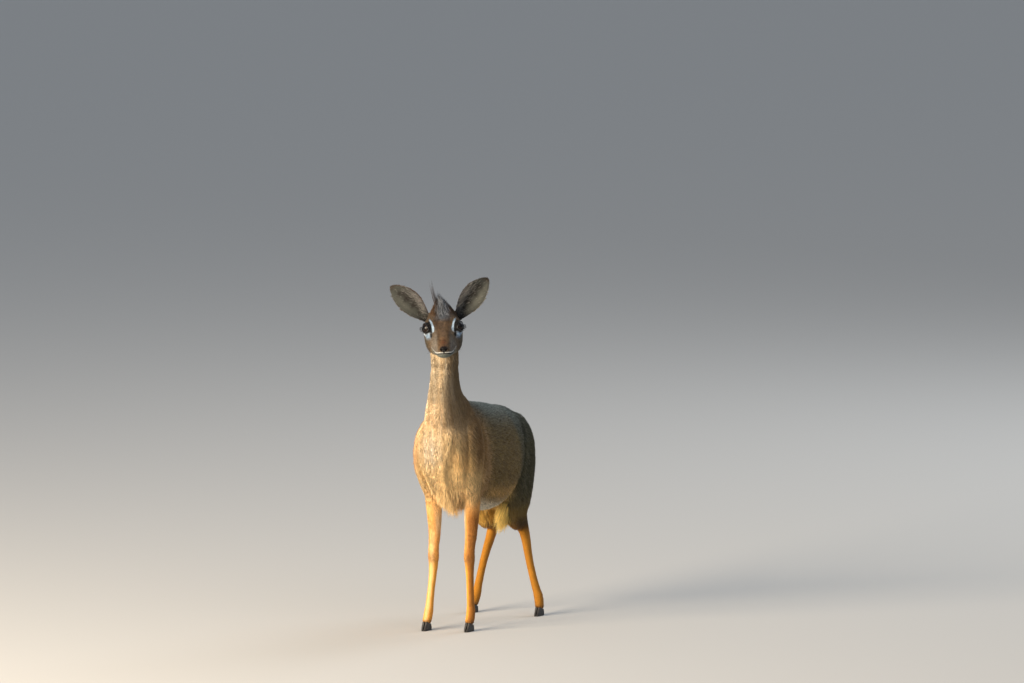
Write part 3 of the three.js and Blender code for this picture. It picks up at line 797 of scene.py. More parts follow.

# %% [markdown]
# The back is grizzled grey, the haunches are darker, and darker still on their outer sides by painted shade, and
# the flanks are ochre with a pale line in the fold before the thigh. A mask may ask which way the skin faces, as
# well as where it is, because the grey of the back ends where the body turns down, not at a height.

# %% Paint the back and the flanks
NX, NY, NZ = skin_normals.T
inward = -NX * np.sign(X_MM)
on_neck = softened(of_kind("neck").astype(float), 70)
on_breast = softened(of_kind("chest", "shoulder").astype(float), 70)
on_barrel = softened(of_kind("barrel").astype(float), 6)
legs_low = of_kind("forearm", "gaskin", "cannon", "pastern")
hind_leg = of_kind("gaskin", "cannon", "pastern") & (Y_MM > 40)
WHITE_HAIR = "eadfc6"
paint("5c645f", on_trunk * ramp(0.2, 0.8, NZ) * ramp(-110, -60, Y_MM) * 0.7)
paint("979e93", on_trunk * ramp(0.25, 0.85, NZ) * ramp(-60, 10, Y_MM) * ramp(200, 110, Y_MM) * 0.8)
# Painted shade on the outer sides of the haunches.
paint("4d4b3a", on_trunk * ramp(70, 140, Y_MM) * ramp(205, 250, Z_MM) * (inward < 0.1) * 0.7)
paint("8a6d43", on_barrel * dip(Y_MM - 30, 60) * dip(Z_MM - 275, 45) * 0.35)
paint("e0c48c", on_barrel * np.clip(5 * thigh_fold, 0, 1) * ramp(350, 315, Z_MM) * 0.9)
print("grey back over", int((on_trunk * ramp(0.25, 0.85, NZ) > 0.5).sum()), "points")

# %% [markdown]
# The breast is pale gold, streaked by the tips of longer hairs, rosy on the animal's right and golden on its left,
# with painted brown shadows at the sides, under the neck on its left edge and in the furrows, and painted warm
# light brightening its underside. The streaks are a sine across the body, bent by another down it, so no two run
# alike. Noise would give spots where the eye looks for strands.

# %% Paint the breast
front = ramp(-0.05, 0.6, -NY) * ramp(-85, -130, Y_MM) * on_breast
breast_side = on_breast * ramp(0.35, 0.8, np.abs(NX)) * ramp(-150, -115, Y_MM)
low_breast = on_breast * ramp(0.1, -0.4, NZ) * ramp(-50, -95, Y_MM)
breast_left_shadow = on_breast * dip(X_MM - 50, 20) * ramp(0.1, 0.4, NX) * ramp(-95, -115, Y_MM)
streaks = 0.5 + 0.5 * np.sin(0.5 * X_MM + 1.7 * np.sin(0.035 * Z_MM) + 0.8)
paint("f8dba4", front * 0.95)
paint("745a38", breast_side * ramp(205, 245, Z_MM) * 0.75)
paint("e8a878", front * dip(X_MM + 48, 22) * 0.8)
paint("fdce86", front * dip(X_MM - 46, 16) * ramp(345, 300, Z_MM) * 0.85)
paint("fff3dc", front * dip(X_MM - 1, 17) * ramp(385, 350, Z_MM) * (0.55 + 0.45 * streaks))
paint("a87a4a", front * (1 - streaks) * ramp(215, 260, Z_MM) * 0.4)
paint("8a6540", np.clip(breast_grooves, 0, 1) * 0.6)
# Painted warm light: the breast's underside is brightened to pale gold.
paint("fad79a", low_breast * 0.85)
paint("f6c686", on_breast * ramp(262, 225, Z_MM) * ramp(-60, -100, Y_MM) * 0.8)
# A painted shadow under the neck, on the breast's left edge.
paint("6b4f2e", breast_left_shadow * ramp(270, 325, Z_MM) * 0.25)
print("breast over", int((front > 0.5).sum()), "points")

# %% [markdown]
# The neck is a shade darker and greyer than the breast, with a light stripe down its front, brown sides that are
# painted shade, darkest on the animal's left, and a painted shadow under the chin. Its strands are two sines
# across, one slow and one fast, so that they come in bunches, as combed hair does.

# %% Paint the neck
neck_front = ramp(-0.05, 0.6, -NY) * on_neck
from_stripe = side_mm - 0.12 * (470 - Z_MM)
# Where the chin's painted shadow lies on the neck.
under_chin = softened((on_neck + facial > 0.5).astype(float), 3) * dip(up_mm + 62, 8) * ramp(-30, 0, forward_mm)
bunches = np.sin(0.31 * side_mm + 0.02 * Z_MM + 1)
neck_strands = bunches * np.sin(0.85 * side_mm + 1.6 * np.sin(0.045 * Z_MM + 0.08 * side_mm))
low_side = ramp(0.3, 0.8, np.abs(NX)) * ramp(-125, -85, Y_MM) * ramp(450, 395, Z_MM)
stripe = dip(from_stripe - 5, 6) * ramp(395, 430, Z_MM) * ramp(470, 440, Z_MM)
paint("b6a182", neck_front * 0.95)
paint("dcb685", neck_front * ramp(425, 380, Z_MM) * 0.9)
paint("e8dcc6", neck_front * stripe * 0.75)
paint("6a5b42", on_neck * dip(from_stripe - 19, 8) * ramp(400, 430, Z_MM) * 0.6)
# A painted shadow under the chin, across the top of the neck.
paint("6e5f45", under_chin * 0.75)
paint("f6d9ae", neck_front * streaks * ramp(430, 390, Z_MM) * 0.7)
paint("5f4e37", neck_front * ramp(0.1, 0.7, neck_strands) * 0.4)
paint("eadcc2", neck_front * ramp(-0.1, -0.7, neck_strands) * 0.4)
paint("6f5d43", on_neck * ramp(0.0, 0.7, NY) * 0.75)
# Painted shade on the neck's left side, and below it on both lower sides.
paint("6b5a42", on_neck * ramp(0.45, 0.85, NX) * 0.75)
paint("745a38", on_neck * low_side * 0.65)
paint("d4b68c", neck_front * dip(NX - 0.2, 0.2) * 0.5)
print("neck over", int((on_neck > 0.5).sum()), "points")

# %% [markdown]
# The belly and the inner thighs are white, and between them and the flank runs an ochre seam. The legs are orange
# tan, lighter in front and browner behind, with dark hocks and a brown smudge on the knees. The hocks are dark
# behind, and painted shade darkens them on their left sides too; the left foreleg has painted shade on its left
# side.

# %% Paint the belly, the inner thighs and the legs
belly = trunk * ramp(-0.5, -0.85, NZ) * ramp(-80, -45, Y_MM)
right_foreleg = legs_low & (X_MM < 0) & (Y_MM < 0)
left_foreleg = legs_low & (X_MM > 0) & (Y_MM < 0)
hock = dip(Z_MM - 163, 16) * of_kind("cannon", "gaskin") * ramp(-0.2, 0.5, 0.6 * NX + 0.6 * NY)
knee = dip(Z_MM - 124, 9) * of_kind("forearm", "cannon") * ramp(0.2, 0.9, -NY) * ramp(-20, -60, Y_MM)
paint("7d673a", on_barrel * ramp(385, 330, Z_MM) * ramp(120, 80, Y_MM) * 0.6)
paint("c9a263", on_barrel * dip(NZ + 0.45, 0.13) * ramp(-60, -20, Y_MM) * 0.8)
paint("c9a263", belly * 0.9)
paint(WHITE_HAIR, belly * ramp(75, 40, Y_MM))
paint("d8b678", of_kind("barrel", "rump") * ramp(-0.3, -0.8, NZ) * ramp(40, 80, Y_MM) * 0.8)
paint(WHITE_HAIR, of_kind("thigh") * ramp(0.25, 0.75, inward))
paint("f0c878", of_kind("thigh", "gaskin") * ramp(0.3, 0.8, inward) * ramp(235, 195, Z_MM))
paint("f2d9ae", of_kind("shoulder", "forearm") * ramp(0.45, 0.85, inward) * ramp(150, 200, Z_MM) * 0.8)
paint("a1691c", hind_leg * ramp(178, 148, Z_MM) * 0.9)
# Painted shade on the left foreleg's left side, away from the light.
paint("8f5722", left_foreleg * ramp(-0.55, 0.25, NX) * ramp(230, 195, Z_MM) * 0.85)
paint("f0bd76", of_kind("forearm") * (X_MM <= 0) * ramp(170, 220, Z_MM) * 0.7)
paint("f3d9a6", right_foreleg * ramp(0.7, 0.97, -NY) * ramp(200, 150, Z_MM) * 0.4)
paint("96622c", legs_low * ramp(0.2, 0.8, NY) * 0.5)
# Dark hocks behind, and painted shade on their left sides.
paint("2c241b", hock * 0.8)
paint("7a5230", knee * 0.45)
paint("5a4028", dip(Z_MM - 15, 4) * of_kind("pastern") * 0.7)
print("belly over", int((belly > 0.5).sum()), "points")

# %% [markdown]
# The face is brown, darkened all over by painted shade, and darker still beside the bridge, with a russet spot
# above the nose and grey cheeks. A pale ring, its white tinted blue as painted cool shade, stands before each eye
# and breaks off below, where the black gland runs down from the eye's corner. These edges are sharper than the
# body's, so some masks are plateaus, and the whole face is mottled by averaged noise.

# %% Paint the face
snout = facial * ramp(6, 26, forward_mm)
bridge = dip(side_mm / (7 + 0.2 * np.clip(16 - forward_mm, 0, 40)), 1.0) * facial
# All the face's colours here are darker than its own, as painted shade.
paint("35261a", facial * dip(abs_side - 10.5, 4.5) * ramp(-8, 2, forward_mm) * ramp(36, 22, forward_mm) * 0.75)
paint("544436", bridge * ramp(34, 22, forward_mm) * ramp(-24, -8, forward_mm) * 0.85)
paint("512f1a", bridge * dip(forward_mm - 36, 7) * ramp(-38, -31, up_mm) * 0.85)
paint("68625a", snout * ramp(8, 14, abs_side) * 0.75)
paint("3f3826", facial * ramp(24, 30, abs_side) * ramp(-6, -20, up_mm) * 0.7)
paint("5c626a", facial * dip(side_mm - 1.5, 11) * ramp(9, 17, up_mm) * ramp(-45, -30, forward_mm) * 0.9)
RING_HEIGHTS = [-22, -16, -6, 4, 13, 18]
RING_SIDES = [22.5, 19.8, 16.8, 17.2, 20.5, 24]
ring_side = np.interp(up_mm, RING_HEIGHTS, RING_SIDES)
by_eye = facial * ramp(-19, -15, up_mm) * ramp(17, 12, up_mm)
by_eye = by_eye * ramp(-20, -12, forward_mm) * ramp(9, 6.5, lid_gap)
paint("8f7f6d", by_eye * ramp(2, 5, lid_up) * 0.4)
# The pale ring's blue tint is painted cool shade over its white.
paint("a3b8cb", by_eye * plateau(abs_side - ring_side, 2.3) * ramp(7, 2, lid_along))
paint("a3b8cb", by_eye * dip(lid_gap - 5, 1.4) * ramp(3, 5.5, lid_up) * ramp(8, 4, lid_along) * 0.85)
# The pale patch under the eye is tinted blue as painted cool shade.
under_eye = plateau(abs_side - 26.5, 5.0) * dip(forward_mm - 9, 9) * dip(up_mm + 14, 4.6)
paint("8299b0", facial * under_eye * 0.95)
tear = plateau(gland_far, 2.4) * facial
inner_dark = ramp(ring_side + 1.2, ring_side + 2.4, abs_side) * ramp(8.5, 6.5, lid_gap) * ramp(2, -1.5, lid_along)
dark_band = inner_dark * ramp(-9, -6, up_mm) * ramp(15, 11, up_mm)
tear_line = facial * dip(abs_side - GLAND["side"], 1.7) * dip(forward_mm - GLAND["forward"], 5)
tear_line = tear_line * ramp(-3, -7, up_mm) * ramp(-18, -14, up_mm)
paint("0e0c0b", np.clip(tear + tear_line + dark_band * facial, 0, 1))
paint("0b0a0a", ramp(2.9 + 0.6 * ramp(1, 4, lid_up), 1.9, lid_gap))
paint("c6c7c3", facial * dip(to_line - 1.5, 1.4) * ramp(13, 19, forward_mm))
# The chin's front is painted green grey: painted shade and a painted green reflection.
paint("545a56", of_kind("lower_jaw") * ramp(12, 22, forward_mm) * 0.9)
paint("675f4d", of_kind("lower_jaw") * ramp(20, 8, forward_mm) * 0.8)
paint("1d1917", dip(to_line, 0.8) * on_mouth * facial)
rhinarium = np.sqrt((side_mm / (5.1 - 0.2 * (-36.6 - up_mm))) ** 2 + ((up_mm + 36.9) / 4.7) ** 2)
bare_nose = ramp(1.1, 0.9, rhinarium) * ramp(38.5, 42, forward_mm) * facial
septum = dip(side_mm, 1.6) * ramp(-45, -43.5, up_mm) * ramp(-38, -40, up_mm) * ramp(38, 41, forward_mm)
bare_nose = np.maximum(bare_nose, septum)
paint("141111", bare_nose)
paint("040303", dip(in_nostril, 1.5) * facial)
bare = np.clip(bare_nose + ramp(2.2, 1.0, lid_gap) + dip(gland_far, 2.2) * facial, 0, 1)
FACE_SEED = 7
grain = softened(np.random.default_rng(FACE_SEED).normal(0, 1, len(skin_points)), 2)
colours = colours * np.clip(1 + 0.5 * (grain * facial * (1 - bare))[:, None], 0.4, 1.8)
print("bare skin at", int((bare > 0.5).sum()), "points")

# %% [markdown]
# Inside the cup an ear is grey, with a dark middle and dark wrinkles across it, and its rims are brown and buff.
# Each ear gets its own coordinates: along from root to tip, and swing from the inner rim, 1, to the outer, -1.

# %% Paint the ears
EAR_LENGTH = 84 * MM
EAR_STATIONS = [0, 0.13, 0.3, 0.5, 0.7, 0.86, 0.96, 1]
EAR_HALF_WIDTHS = [9, 13.5, 19.5, 22.6, 19.6, 13, 6.4, 1.2]
ear_out, ear_along, ear_swing = (np.zeros(len(skin_points)) for _ in range(3))
for side in SIGN:
    root, way, across, out = ear_axes(side)
    rel = skin_points - root
    mine = of_kind("ear") & ((side_mm > 0) == (side == "left"))
    ear_out[mine] = (skin_normals @ out)[mine]
    ear_along[mine] = (rel @ way)[mine] / EAR_LENGTH
    ear_swing[mine] = (rel @ across)[mine] / MM * (-SIGN[side])
half_width = np.interp(ear_along, EAR_STATIONS, EAR_HALF_WIDTHS)
drift = np.interp(ear_along, [0.3, 0.7, 1], [0, 1.5, 5.4])
ear_swing = (ear_swing + drift) / half_width
in_cup = of_kind("ear") * ramp(0.15, 0.5, ear_out)
wrinkles = np.sin(34 * ear_along + 5.5 * np.abs(ear_swing - 0.1) + 1.5 * np.sin(4 * ear_swing))
below_tip = ramp(0.9, 0.7, ear_along)
paint("383935", in_cup)
paint("201b18", in_cup * dip(ear_swing - 0.12, 0.26) * ramp(0.12, 0.3, ear_along) * below_tip * 0.7)
paint("1c1815", in_cup * ramp(0.1, 0.7, wrinkles) * dip(ear_swing, 0.5) * below_tip * 0.75)
paint("76706f", in_cup * dip(ear_swing - 0.62, 0.2) * ramp(0.75, 0.45, ear_along) * 0.8)
paint("5f5f57", in_cup * dip(ear_swing + 0.55, 0.25) * dip(ear_along - 0.55, 0.35) * 0.6)
paint("3f2a1c", of_kind("ear") * ramp(0.8, 0.92, ear_swing) * 0.9)
paint("8b8676", of_kind("ear") * ramp(-0.88, -0.97, ear_swing) * 0.8)
paint("332a22", of_kind("ear") * ramp(0.88, 0.99, ear_along) * 0.85)
paint("1d1916", in_cup * ramp(0.2, 0.05, ear_along) * 0.8)
print("painted", len(colours), "points")

# %% [markdown]
# Every piece ends in the same few lines: it rides on the one body and hides the solids that it stands for.
# Painted colours travel with a mesh as one colour for each point.

# %% Finish a piece
def finished(ob, slot, *replaced):
    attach(ob, "root")
    if replaced:
        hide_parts(*replaced)
    return ob


def new_object(name, mesh, material):
    mesh.materials.append(material)
    mesh.polygons.foreach_set("use_smooth", np.ones(len(mesh.polygons), bool))
    ob = bpy.data.objects.new(name, mesh)
    bpy.context.collection.objects.link(ob)
    return ob


def give_colours(mesh, values, name="coat"):
    rgba = np.ones((len(mesh.vertices), 4), np.float32)
    rgba[:, :3] = values
    mesh.attributes.new(name, "FLOAT_COLOR", "POINT").data.foreach_set("color", rgba.ravel())


def give_value(mesh, values, name):
    mesh.attributes.new(name, "FLOAT", "POINT").data.foreach_set("value", np.asarray(values, np.float32))


# %% [markdown]
# Fur is soft and rough, with a faint sheen and hardly any gloss. The painted colour is broken by two noises, a
# fine speckle and slow patches, both on the piece's own coordinates. The skin's bare places are smoother and
# shine a little, and a fine bump gives the short hair between the tufts.

# %% Nodes that the materials share
def material(name):
    """A new material, its nodes, its links and its main shader."""
    mat = bpy.data.materials.new(name)
    mat.use_nodes = True
    shader = mat.node_tree.nodes["Principled BSDF"]
    return mat, mat.node_tree.nodes, mat.node_tree.links, shader


def attribute(node_list, name):
    node = node_list.new("ShaderNodeAttribute")
    node.attribute_name = name
    return node


def noise(node_list, links, scale, detail=2.0, stretch=(1, 1, 1)):
    """A noise texture on the piece's own coordinates."""
    coords = node_list.new("ShaderNodeTexCoord")
    mapping = node_list.new("ShaderNodeMapping")
    mapping.inputs["Scale"].default_value = stretch
    texture = node_list.new("ShaderNodeTexNoise")
    texture.inputs["Scale"].default_value = scale
    texture.inputs["Detail"].default_value = detail
    links.new(coords.outputs["Object"], mapping.inputs["Vector"])
    links.new(mapping.outputs["Vector"], texture.inputs["Vector"])
    return texture


def scaled(node_list, links, value, low, high):
    """Maps a 0 to 1 value to a range."""
    node = node_list.new("ShaderNodeMapRange")
    node.inputs["To Min"].default_value = low
    node.inputs["To Max"].default_value = high
    links.new(value, node.inputs["Value"])
    return node.outputs["Result"]


# %% Materials of skin and coat
FUR_SPECULAR = 0.12
FUR_SHEEN = 0.05
SPECKLE_SCALE, PATCH_SCALE, STRAND_SCALE = 900, 55, 1500


def fur_material(name, roughness):
    mat, ns, links, shader = material(name)
    colour = attribute(ns, "coat")
    speckle = noise(ns, links, SPECKLE_SCALE, 3.0)
    patches = noise(ns, links, PATCH_SCALE, 3.0)
    light = ns.new("ShaderNodeMath")
    light.operation = "MULTIPLY"
    links.new(scaled(ns, links, speckle.outputs["Fac"], 0.72, 1.28), light.inputs[0])
    links.new(scaled(ns, links, patches.outputs["Fac"], 0.86, 1.14), light.inputs[1])
    shade = ns.new("ShaderNodeVectorMath")
    shade.operation = "SCALE"
    links.new(colour.outputs["Color"], shade.inputs[0])
    links.new(light.outputs[0], shade.inputs["Scale"])
    links.new(shade.outputs["Vector"], shader.inputs["Base Color"])
    shader.inputs["Roughness"].default_value = roughness
    shader.inputs["Specular IOR Level"].default_value = FUR_SPECULAR
    shader.inputs["Sheen Weight"].default_value = FUR_SHEEN
    shader.inputs["Sheen Roughness"].default_value = 0.5
    return mat, ns, links, shader


coat_material = fur_material("fur_tufts", 0.62)[0]
skin_material, ns, links, shader = fur_material("short_fur_over_skin", 0.8)
bare_skin = attribute(ns, "bare")
links.new(scaled(ns, links, bare_skin.outputs["Fac"], 0.8, 0.3), shader.inputs["Roughness"])
strands = noise(ns, links, STRAND_SCALE, 3.0, (1, 1, 0.3))


def bumped(node_list, links, shader, height, strength, distance):
    """Raises the surface in its light only, by a height from 0 to 1."""
    bump = node_list.new("ShaderNodeBump")
    bump.inputs["Strength"].default_value = strength
    bump.inputs["Distance"].default_value = distance
    links.new(height, bump.inputs["Height"])
    links.new(bump.outputs["Normal"], shader.inputs["Normal"])


bumped(ns, links, shader, strands.outputs["Fac"], 0.5, 0.0006)
print("materials:", coat_material.name, "and", skin_material.name)

# %% [markdown]
# The skin is done: it gets its points, its colours, a little darker where long hair shades it, and an unwrap. A
# projection by angle cuts it into many flat islands, which is enough for a bake. The tufts use its map too.

# %% The skin as a piece, with its unwrap
skin_mesh.vertices.foreach_set("co", skin_points.astype(np.float32).ravel())
skin_mesh.update()
give_colours(skin_mesh, colours * (0.95 - 0.02 * hair_length)[:, None])
give_value(skin_mesh, bare, "bare")
skin = new_object("skin", skin_mesh, skin_material)
finished(skin, "fawn_coat", *flesh)
bpy.context.view_layer.objects.active = skin
skin.select_set(True)
bpy.ops.object.mode_set(mode="EDIT")
bpy.ops.mesh.select_all(action="SELECT")
bpy.ops.uv.smart_project(angle_limit=radians(66), island_margin=0.001)
bpy.ops.object.mode_set(mode="OBJECT")
skin_uv = np.empty(len(skin_mesh.loops) * 2, np.float32)
skin_mesh.uv_layers.active.data.foreach_get("uv", skin_uv)
skin_uv = skin_uv.reshape(-1, 3, 2)
print("skin unwrapped", skin_uv.min(), skin_uv.max())

# %% [markdown]
# One short function makes every tuft: a closed blade of three sides that bends over the skin and ends in a point.
# It is given thousands of roots at once, and works on all of them together, which a loop over bmesh tufts would
# take minutes for. Colours, one per point, run from root to tip. Each tuft's patch in the map OFBake lies where
# its root is on the skin's own unwrap.

# %% Tufts
PATCH = 0.003
RINGS = 2
TAPER_AT, TAPER = [0, 0.35, 1], [0.75, 1, 0.0]
THREE_SIDES = [(-0.5, 0.0), (0.5, 0.0), (0.0, 1.0)]


def blades(name, root, along, bow, side, width, thick, low_colour, tip_colour, uv, slot, rings=RINGS):
    """Closed three-sided blades. A blade's middle line is root + along t + bow t², for t from 0 to 1."""
    count = len(root)
    steps = np.arange(rings) / rings
    taper = np.interp(steps, TAPER_AT, TAPER)
    out = np.cross(along, side)
    out /= np.linalg.norm(out, axis=1, keepdims=True) + 1e-12
    points = np.empty((count, 3 * rings + 1, 3))
    tints = np.empty_like(points)
    for r, t in enumerate(steps):
        centre = root + along * t + bow * t * t
        for k, (across, up) in enumerate(THREE_SIDES):
            offset = side * (across * width * taper[r])[:, None] + out * (up * thick * taper[r])[:, None]
            points[:, 3 * r + k] = centre + offset
            tints[:, 3 * r + k] = low_colour + (tip_colour - low_colour) * t
    points[:, -1] = root + along + bow
    tints[:, -1] = tip_colour
    faces = [(0, 2, 1)]
    for r in range(rings - 1):
        for k in range(3):
            a, b = 3 * r + k, 3 * r + (k + 1) % 3
            faces += [(a, b, b + 3), (a, b + 3, a + 3)]
    last = 3 * (rings - 1)
    faces += [(last + k, last + (k + 1) % 3, 3 * rings) for k in range(3)]
    faces = np.array(faces)
    corners = (faces[None] + (3 * rings + 1) * np.arange(count)[:, None, None]).reshape(-1)
    mesh = bpy.data.meshes.new(name)
    mesh.vertices.add(count * (3 * rings + 1))
    mesh.vertices.foreach_set("co", points.astype(np.float32).ravel())
    mesh.loops.add(len(corners))
    mesh.loops.foreach_set("vertex_index", corners.astype(np.int32))
    mesh.polygons.add(len(corners) // 3)
    mesh.polygons.foreach_set("loop_start", np.arange(0, len(corners), 3, dtype=np.int32))
    mesh.update(calc_edges=True)
    give_colours(mesh, tints.reshape(-1, 3))
    place = [(across, r / rings) for r in range(rings) for across, _ in THREE_SIDES]
    place = np.array(place + [(0.0, 1.0)])
    spots = (uv[:, None] + PATCH * place[None]).reshape(-1, 2)
    mesh.uv_layers.new(name="OFBake").data.foreach_set("uv", spots[corners].astype(np.float32).ravel())
    ob = new_object(name, mesh, coat_material)
    print(name, count, "tufts,", len(mesh.polygons), "triangles")
    return finished(ob, slot)


# %% [markdown]
# Roots are scattered by area: each triangle of the skin gets a random number of them, whose mean is its area
# times the density painted there. A fixed seed gives the same coat every time.

# %% Scatter roots over the skin
COAT_SEED = 19
SQUARE_CM = 1e-4
draw = np.random.default_rng(COAT_SEED)
first, second, third = (skin_points[triangles[:, k]] for k in range(3))
areas = np.linalg.norm(np.cross(second - first, third - first), axis=1) / 2
print("skin area", round(areas.sum() / SQUARE_CM), "square cm")


class Roots:
    """Random places on the skin, with every painted value read there."""

    def __init__(self, mask, more=1.0):
        inside = mask[triangles].mean(axis=1)
        wish = areas / SQUARE_CM * tuft_density[triangles].mean(axis=1) * inside * more
        face = np.repeat(np.arange(len(triangles)), draw.poisson(wish))
        a, b = draw.random(len(face)), draw.random(len(face))
        a, b = np.where(a + b > 1, 1 - a, a), np.where(a + b > 1, 1 - b, b)
        self.share = np.stack([1 - a - b, a, b], axis=1)
        self.corners = triangles[face]
        self.uv = np.clip((skin_uv[face] * self.share[:, :, None]).sum(axis=1), PATCH, 1 - PATCH)
        self.count = len(face)
        self.place = self.read(skin_points)
        self.normal = self.unit(self.read(skin_normals))
        self.lie = self.unit(self.read(lie))

    def read(self, values):
        found = values[self.corners]
        share = self.share if found.ndim == 2 else self.share[:, :, None]
        return (found * share).sum(axis=1)

    @staticmethod
    def unit(vectors):
        return vectors / (np.linalg.norm(vectors, axis=1, keepdims=True) + 1e-12)


def locks(place):
    """Two slow waves over the body, which make neighbouring tufts lean and shade alike."""
    x, y, z = place.T / MM
    lean = np.sin(0.31 * x + 0.23 * y + 1.3 * np.sin(0.11 * z)) * np.sin(0.17 * z + 0.13 * y + 0.5)
    shade = np.sin(0.47 * x - 0.29 * y + 1.9 * np.sin(0.07 * z + 0.05 * y))
    return lean, shade


# %% [markdown]
# A coat of equal tufts looks like a carpet. So each tuft's length, width, lift, lean and shade are drawn anew, a
# share of them is dark, as the banded hairs of a grizzled coat are, and slow waves make neighbours lean together.

# %% The short coat
ROOT_DEPTH = 0.35 * MM
LEAST_DEPTH = 0.25


def coat(name, mask, slot, more=1.0, longer=1.0, lift=1.0,
         grizzle=0.13, stray=0.16, dark_share=0.14, dark=0.55, low=0.72):
    """Tufts over the masked part of the skin, as long, deep and dense as painted there."""
    r = Roots(mask, more)
    n = r.count
    length = r.read(hair_length) * longer * draw.uniform(0.7, 1.25, n) * MM
    depth = np.maximum(r.read(coat_depth), LEAST_DEPTH) * lift * draw.uniform(0.55, 1.25, n) * MM
    width = r.read(tuft_width) * draw.uniform(0.75, 1.25, n) * MM
    side = Roots.unit(np.cross(r.normal, r.lie))
    wave_lean, wave_shade = locks(r.place)
    way = Roots.unit(r.lie + side * (draw.normal(0, stray, n) + 0.8 * stray * wave_lean)[:, None])
    side = Roots.unit(np.cross(r.normal, way))
    along = way * length[:, None] + r.normal * (2.0 * depth)[:, None]
    bow = -r.normal * depth[:, None] + side * (draw.normal(0, 0.06, n) * length)[:, None]
    root = r.place - r.normal * ROOT_DEPTH
    colour = r.read(colours)
    shade = (draw.normal(1, grizzle, n) + 0.07 * wave_shade)[:, None]
    is_dark = draw.random(n) < dark_share
    tip = colour * np.clip(np.where(is_dark[:, None], dark, 1.18) * shade, 0.2, 1.6)
    foot = colour * np.clip(shade * low, 0.25, 1.2)
    return blades(name, root, along, bow, side, width, 0.3 * width, foot, tip, r.uv, slot)


left, right = X_MM > 0, X_MM <= 0
not_bare = bare < 0.35
open_skin = (~behind_lids) & not_bare
head_mask = facial & open_skin & ~throat
FINE = {"stray": 0.1, "grizzle": 0.16, "dark_share": 0.35, "dark": 0.62}
coat("coat_face", (head_mask & (forward_mm > -6)).astype(float), "fawn_coat", **FINE)
coat("coat_skull", (head_mask & (forward_mm <= -6)).astype(float), "fawn_coat", **FINE)
coat("coat_ears", (of_kind("ear") & (in_cup < 0.5)).astype(float), "ear_coat", **FINE)
coat("coat_ear_cups", (of_kind("ear") & (in_cup >= 0.5)).astype(float), "ear_coat", 0.8, 1.2, **FINE)
SMOOTH = {"grizzle": 0.11, "dark_share": 0.08, "low": 0.9}
coat("coat_neck", neck_hair.astype(float), "fawn_coat", lift=0.6, **SMOOTH)
coat("coat_chest", of_kind("chest").astype(float), "fawn_coat", lift=0.8, **SMOOTH)
coat("coat_shoulders", of_kind("shoulder").astype(float), "fawn_coat", lift=0.75, grizzle=0.15, dark_share=0.2)
GRIZZLED = {"grizzle": 0.2, "dark_share": 0.34, "dark": 0.5}
coat("coat_barrel_left", (of_kind("barrel") & left).astype(float), "grizzled_coat", **GRIZZLED)
coat("coat_barrel_right", (of_kind("barrel") & right).astype(float), "grizzled_coat", **GRIZZLED)
coat("coat_rump", of_kind("rump").astype(float), "grizzled_coat", **GRIZZLED)
coat("coat_thighs", of_kind("thigh").astype(float), "grizzled_coat", **GRIZZLED)
SLEEK = {"grizzle": 0.07, "dark_share": 0.15, "dark": 0.8, "low": 0.9}
coat("coat_forearms", of_kind("forearm", "gaskin").astype(float), "leg_coat", stray=0.1, **SLEEK)
coat("coat_cannons", of_kind("cannon", "pastern").astype(float), "leg_coat", stray=0.07, **SLEEK)
coat("coat_tail", of_kind("tail").astype(float), "grizzled_coat")

# %% [markdown]
# Longer hair hangs in a few places: a wedge under the breast, a pale skirt from the groin and the inner thighs
# that hides the top of the hind legs, and a fringe on the back of the thighs. These are the same blades, with
# more rings so that they can bend, and with their own length and their own way down.

# %% Hanging hair
HAIR_RINGS = 4
HAIR_ROOT_DEPTH = 0.5 * MM


def fringe(name, mask, slot, more, reach, way, code, lift=0.25, own=0.2):
    """Long hair, its length in millimetres, that hangs the given way. Own is the share of the skin's colour."""
    r = Roots(mask, more)
    n = r.count
    length = reach * (0.45 + 0.55 * r.read(mask / mask.max())) * draw.uniform(0.65, 1.25, n) * MM
    hang = Roots.unit(np.array(way) + draw.normal(0, 0.1, (n, 3)))
    along = Roots.unit(0.5 * r.lie + hang + lift * r.normal) * length[:, None]
    bow = (hang - Roots.unit(along)) * (0.5 * length)[:, None]
    side = Roots.unit(np.cross(along, r.normal + 0.3 * draw.normal(0, 1, (n, 3))))
    shade = draw.normal(1, 0.14, n)[:, None]
    colour = own * r.read(colours) + (1 - own) * tint(code)
    width = draw.uniform(0.7, 1.15, n) * MM
    root = r.place - r.normal * HAIR_ROOT_DEPTH
    foot, tip = colour * shade * 0.75, colour * shade * 1.1
    return blades(name, root, along, bow, side, width, 0.3 * width, foot, tip, r.uv, slot, rings=HAIR_RINGS)


breast_low = of_kind("chest") * ramp(-0.2, -0.6, NZ) * dip(X_MM - 10, 15)
breast_low = breast_low * ramp(-155, -130, Y_MM) * ramp(-70, -95, Y_MM)
fringe("hair_breast", breast_low, "fawn_coat", 0.9, 29, (0, 0.1, -1), "f3cf94")
inner_front = 0.75 * inward - 0.65 * NY
skirt = of_kind("thigh", "gaskin") * ramp(0.2, 0.75, inner_front) * ramp(238, 215, Z_MM) * ramp(168, 178, Z_MM)
skirt = skirt * ramp(190, 160, Y_MM)
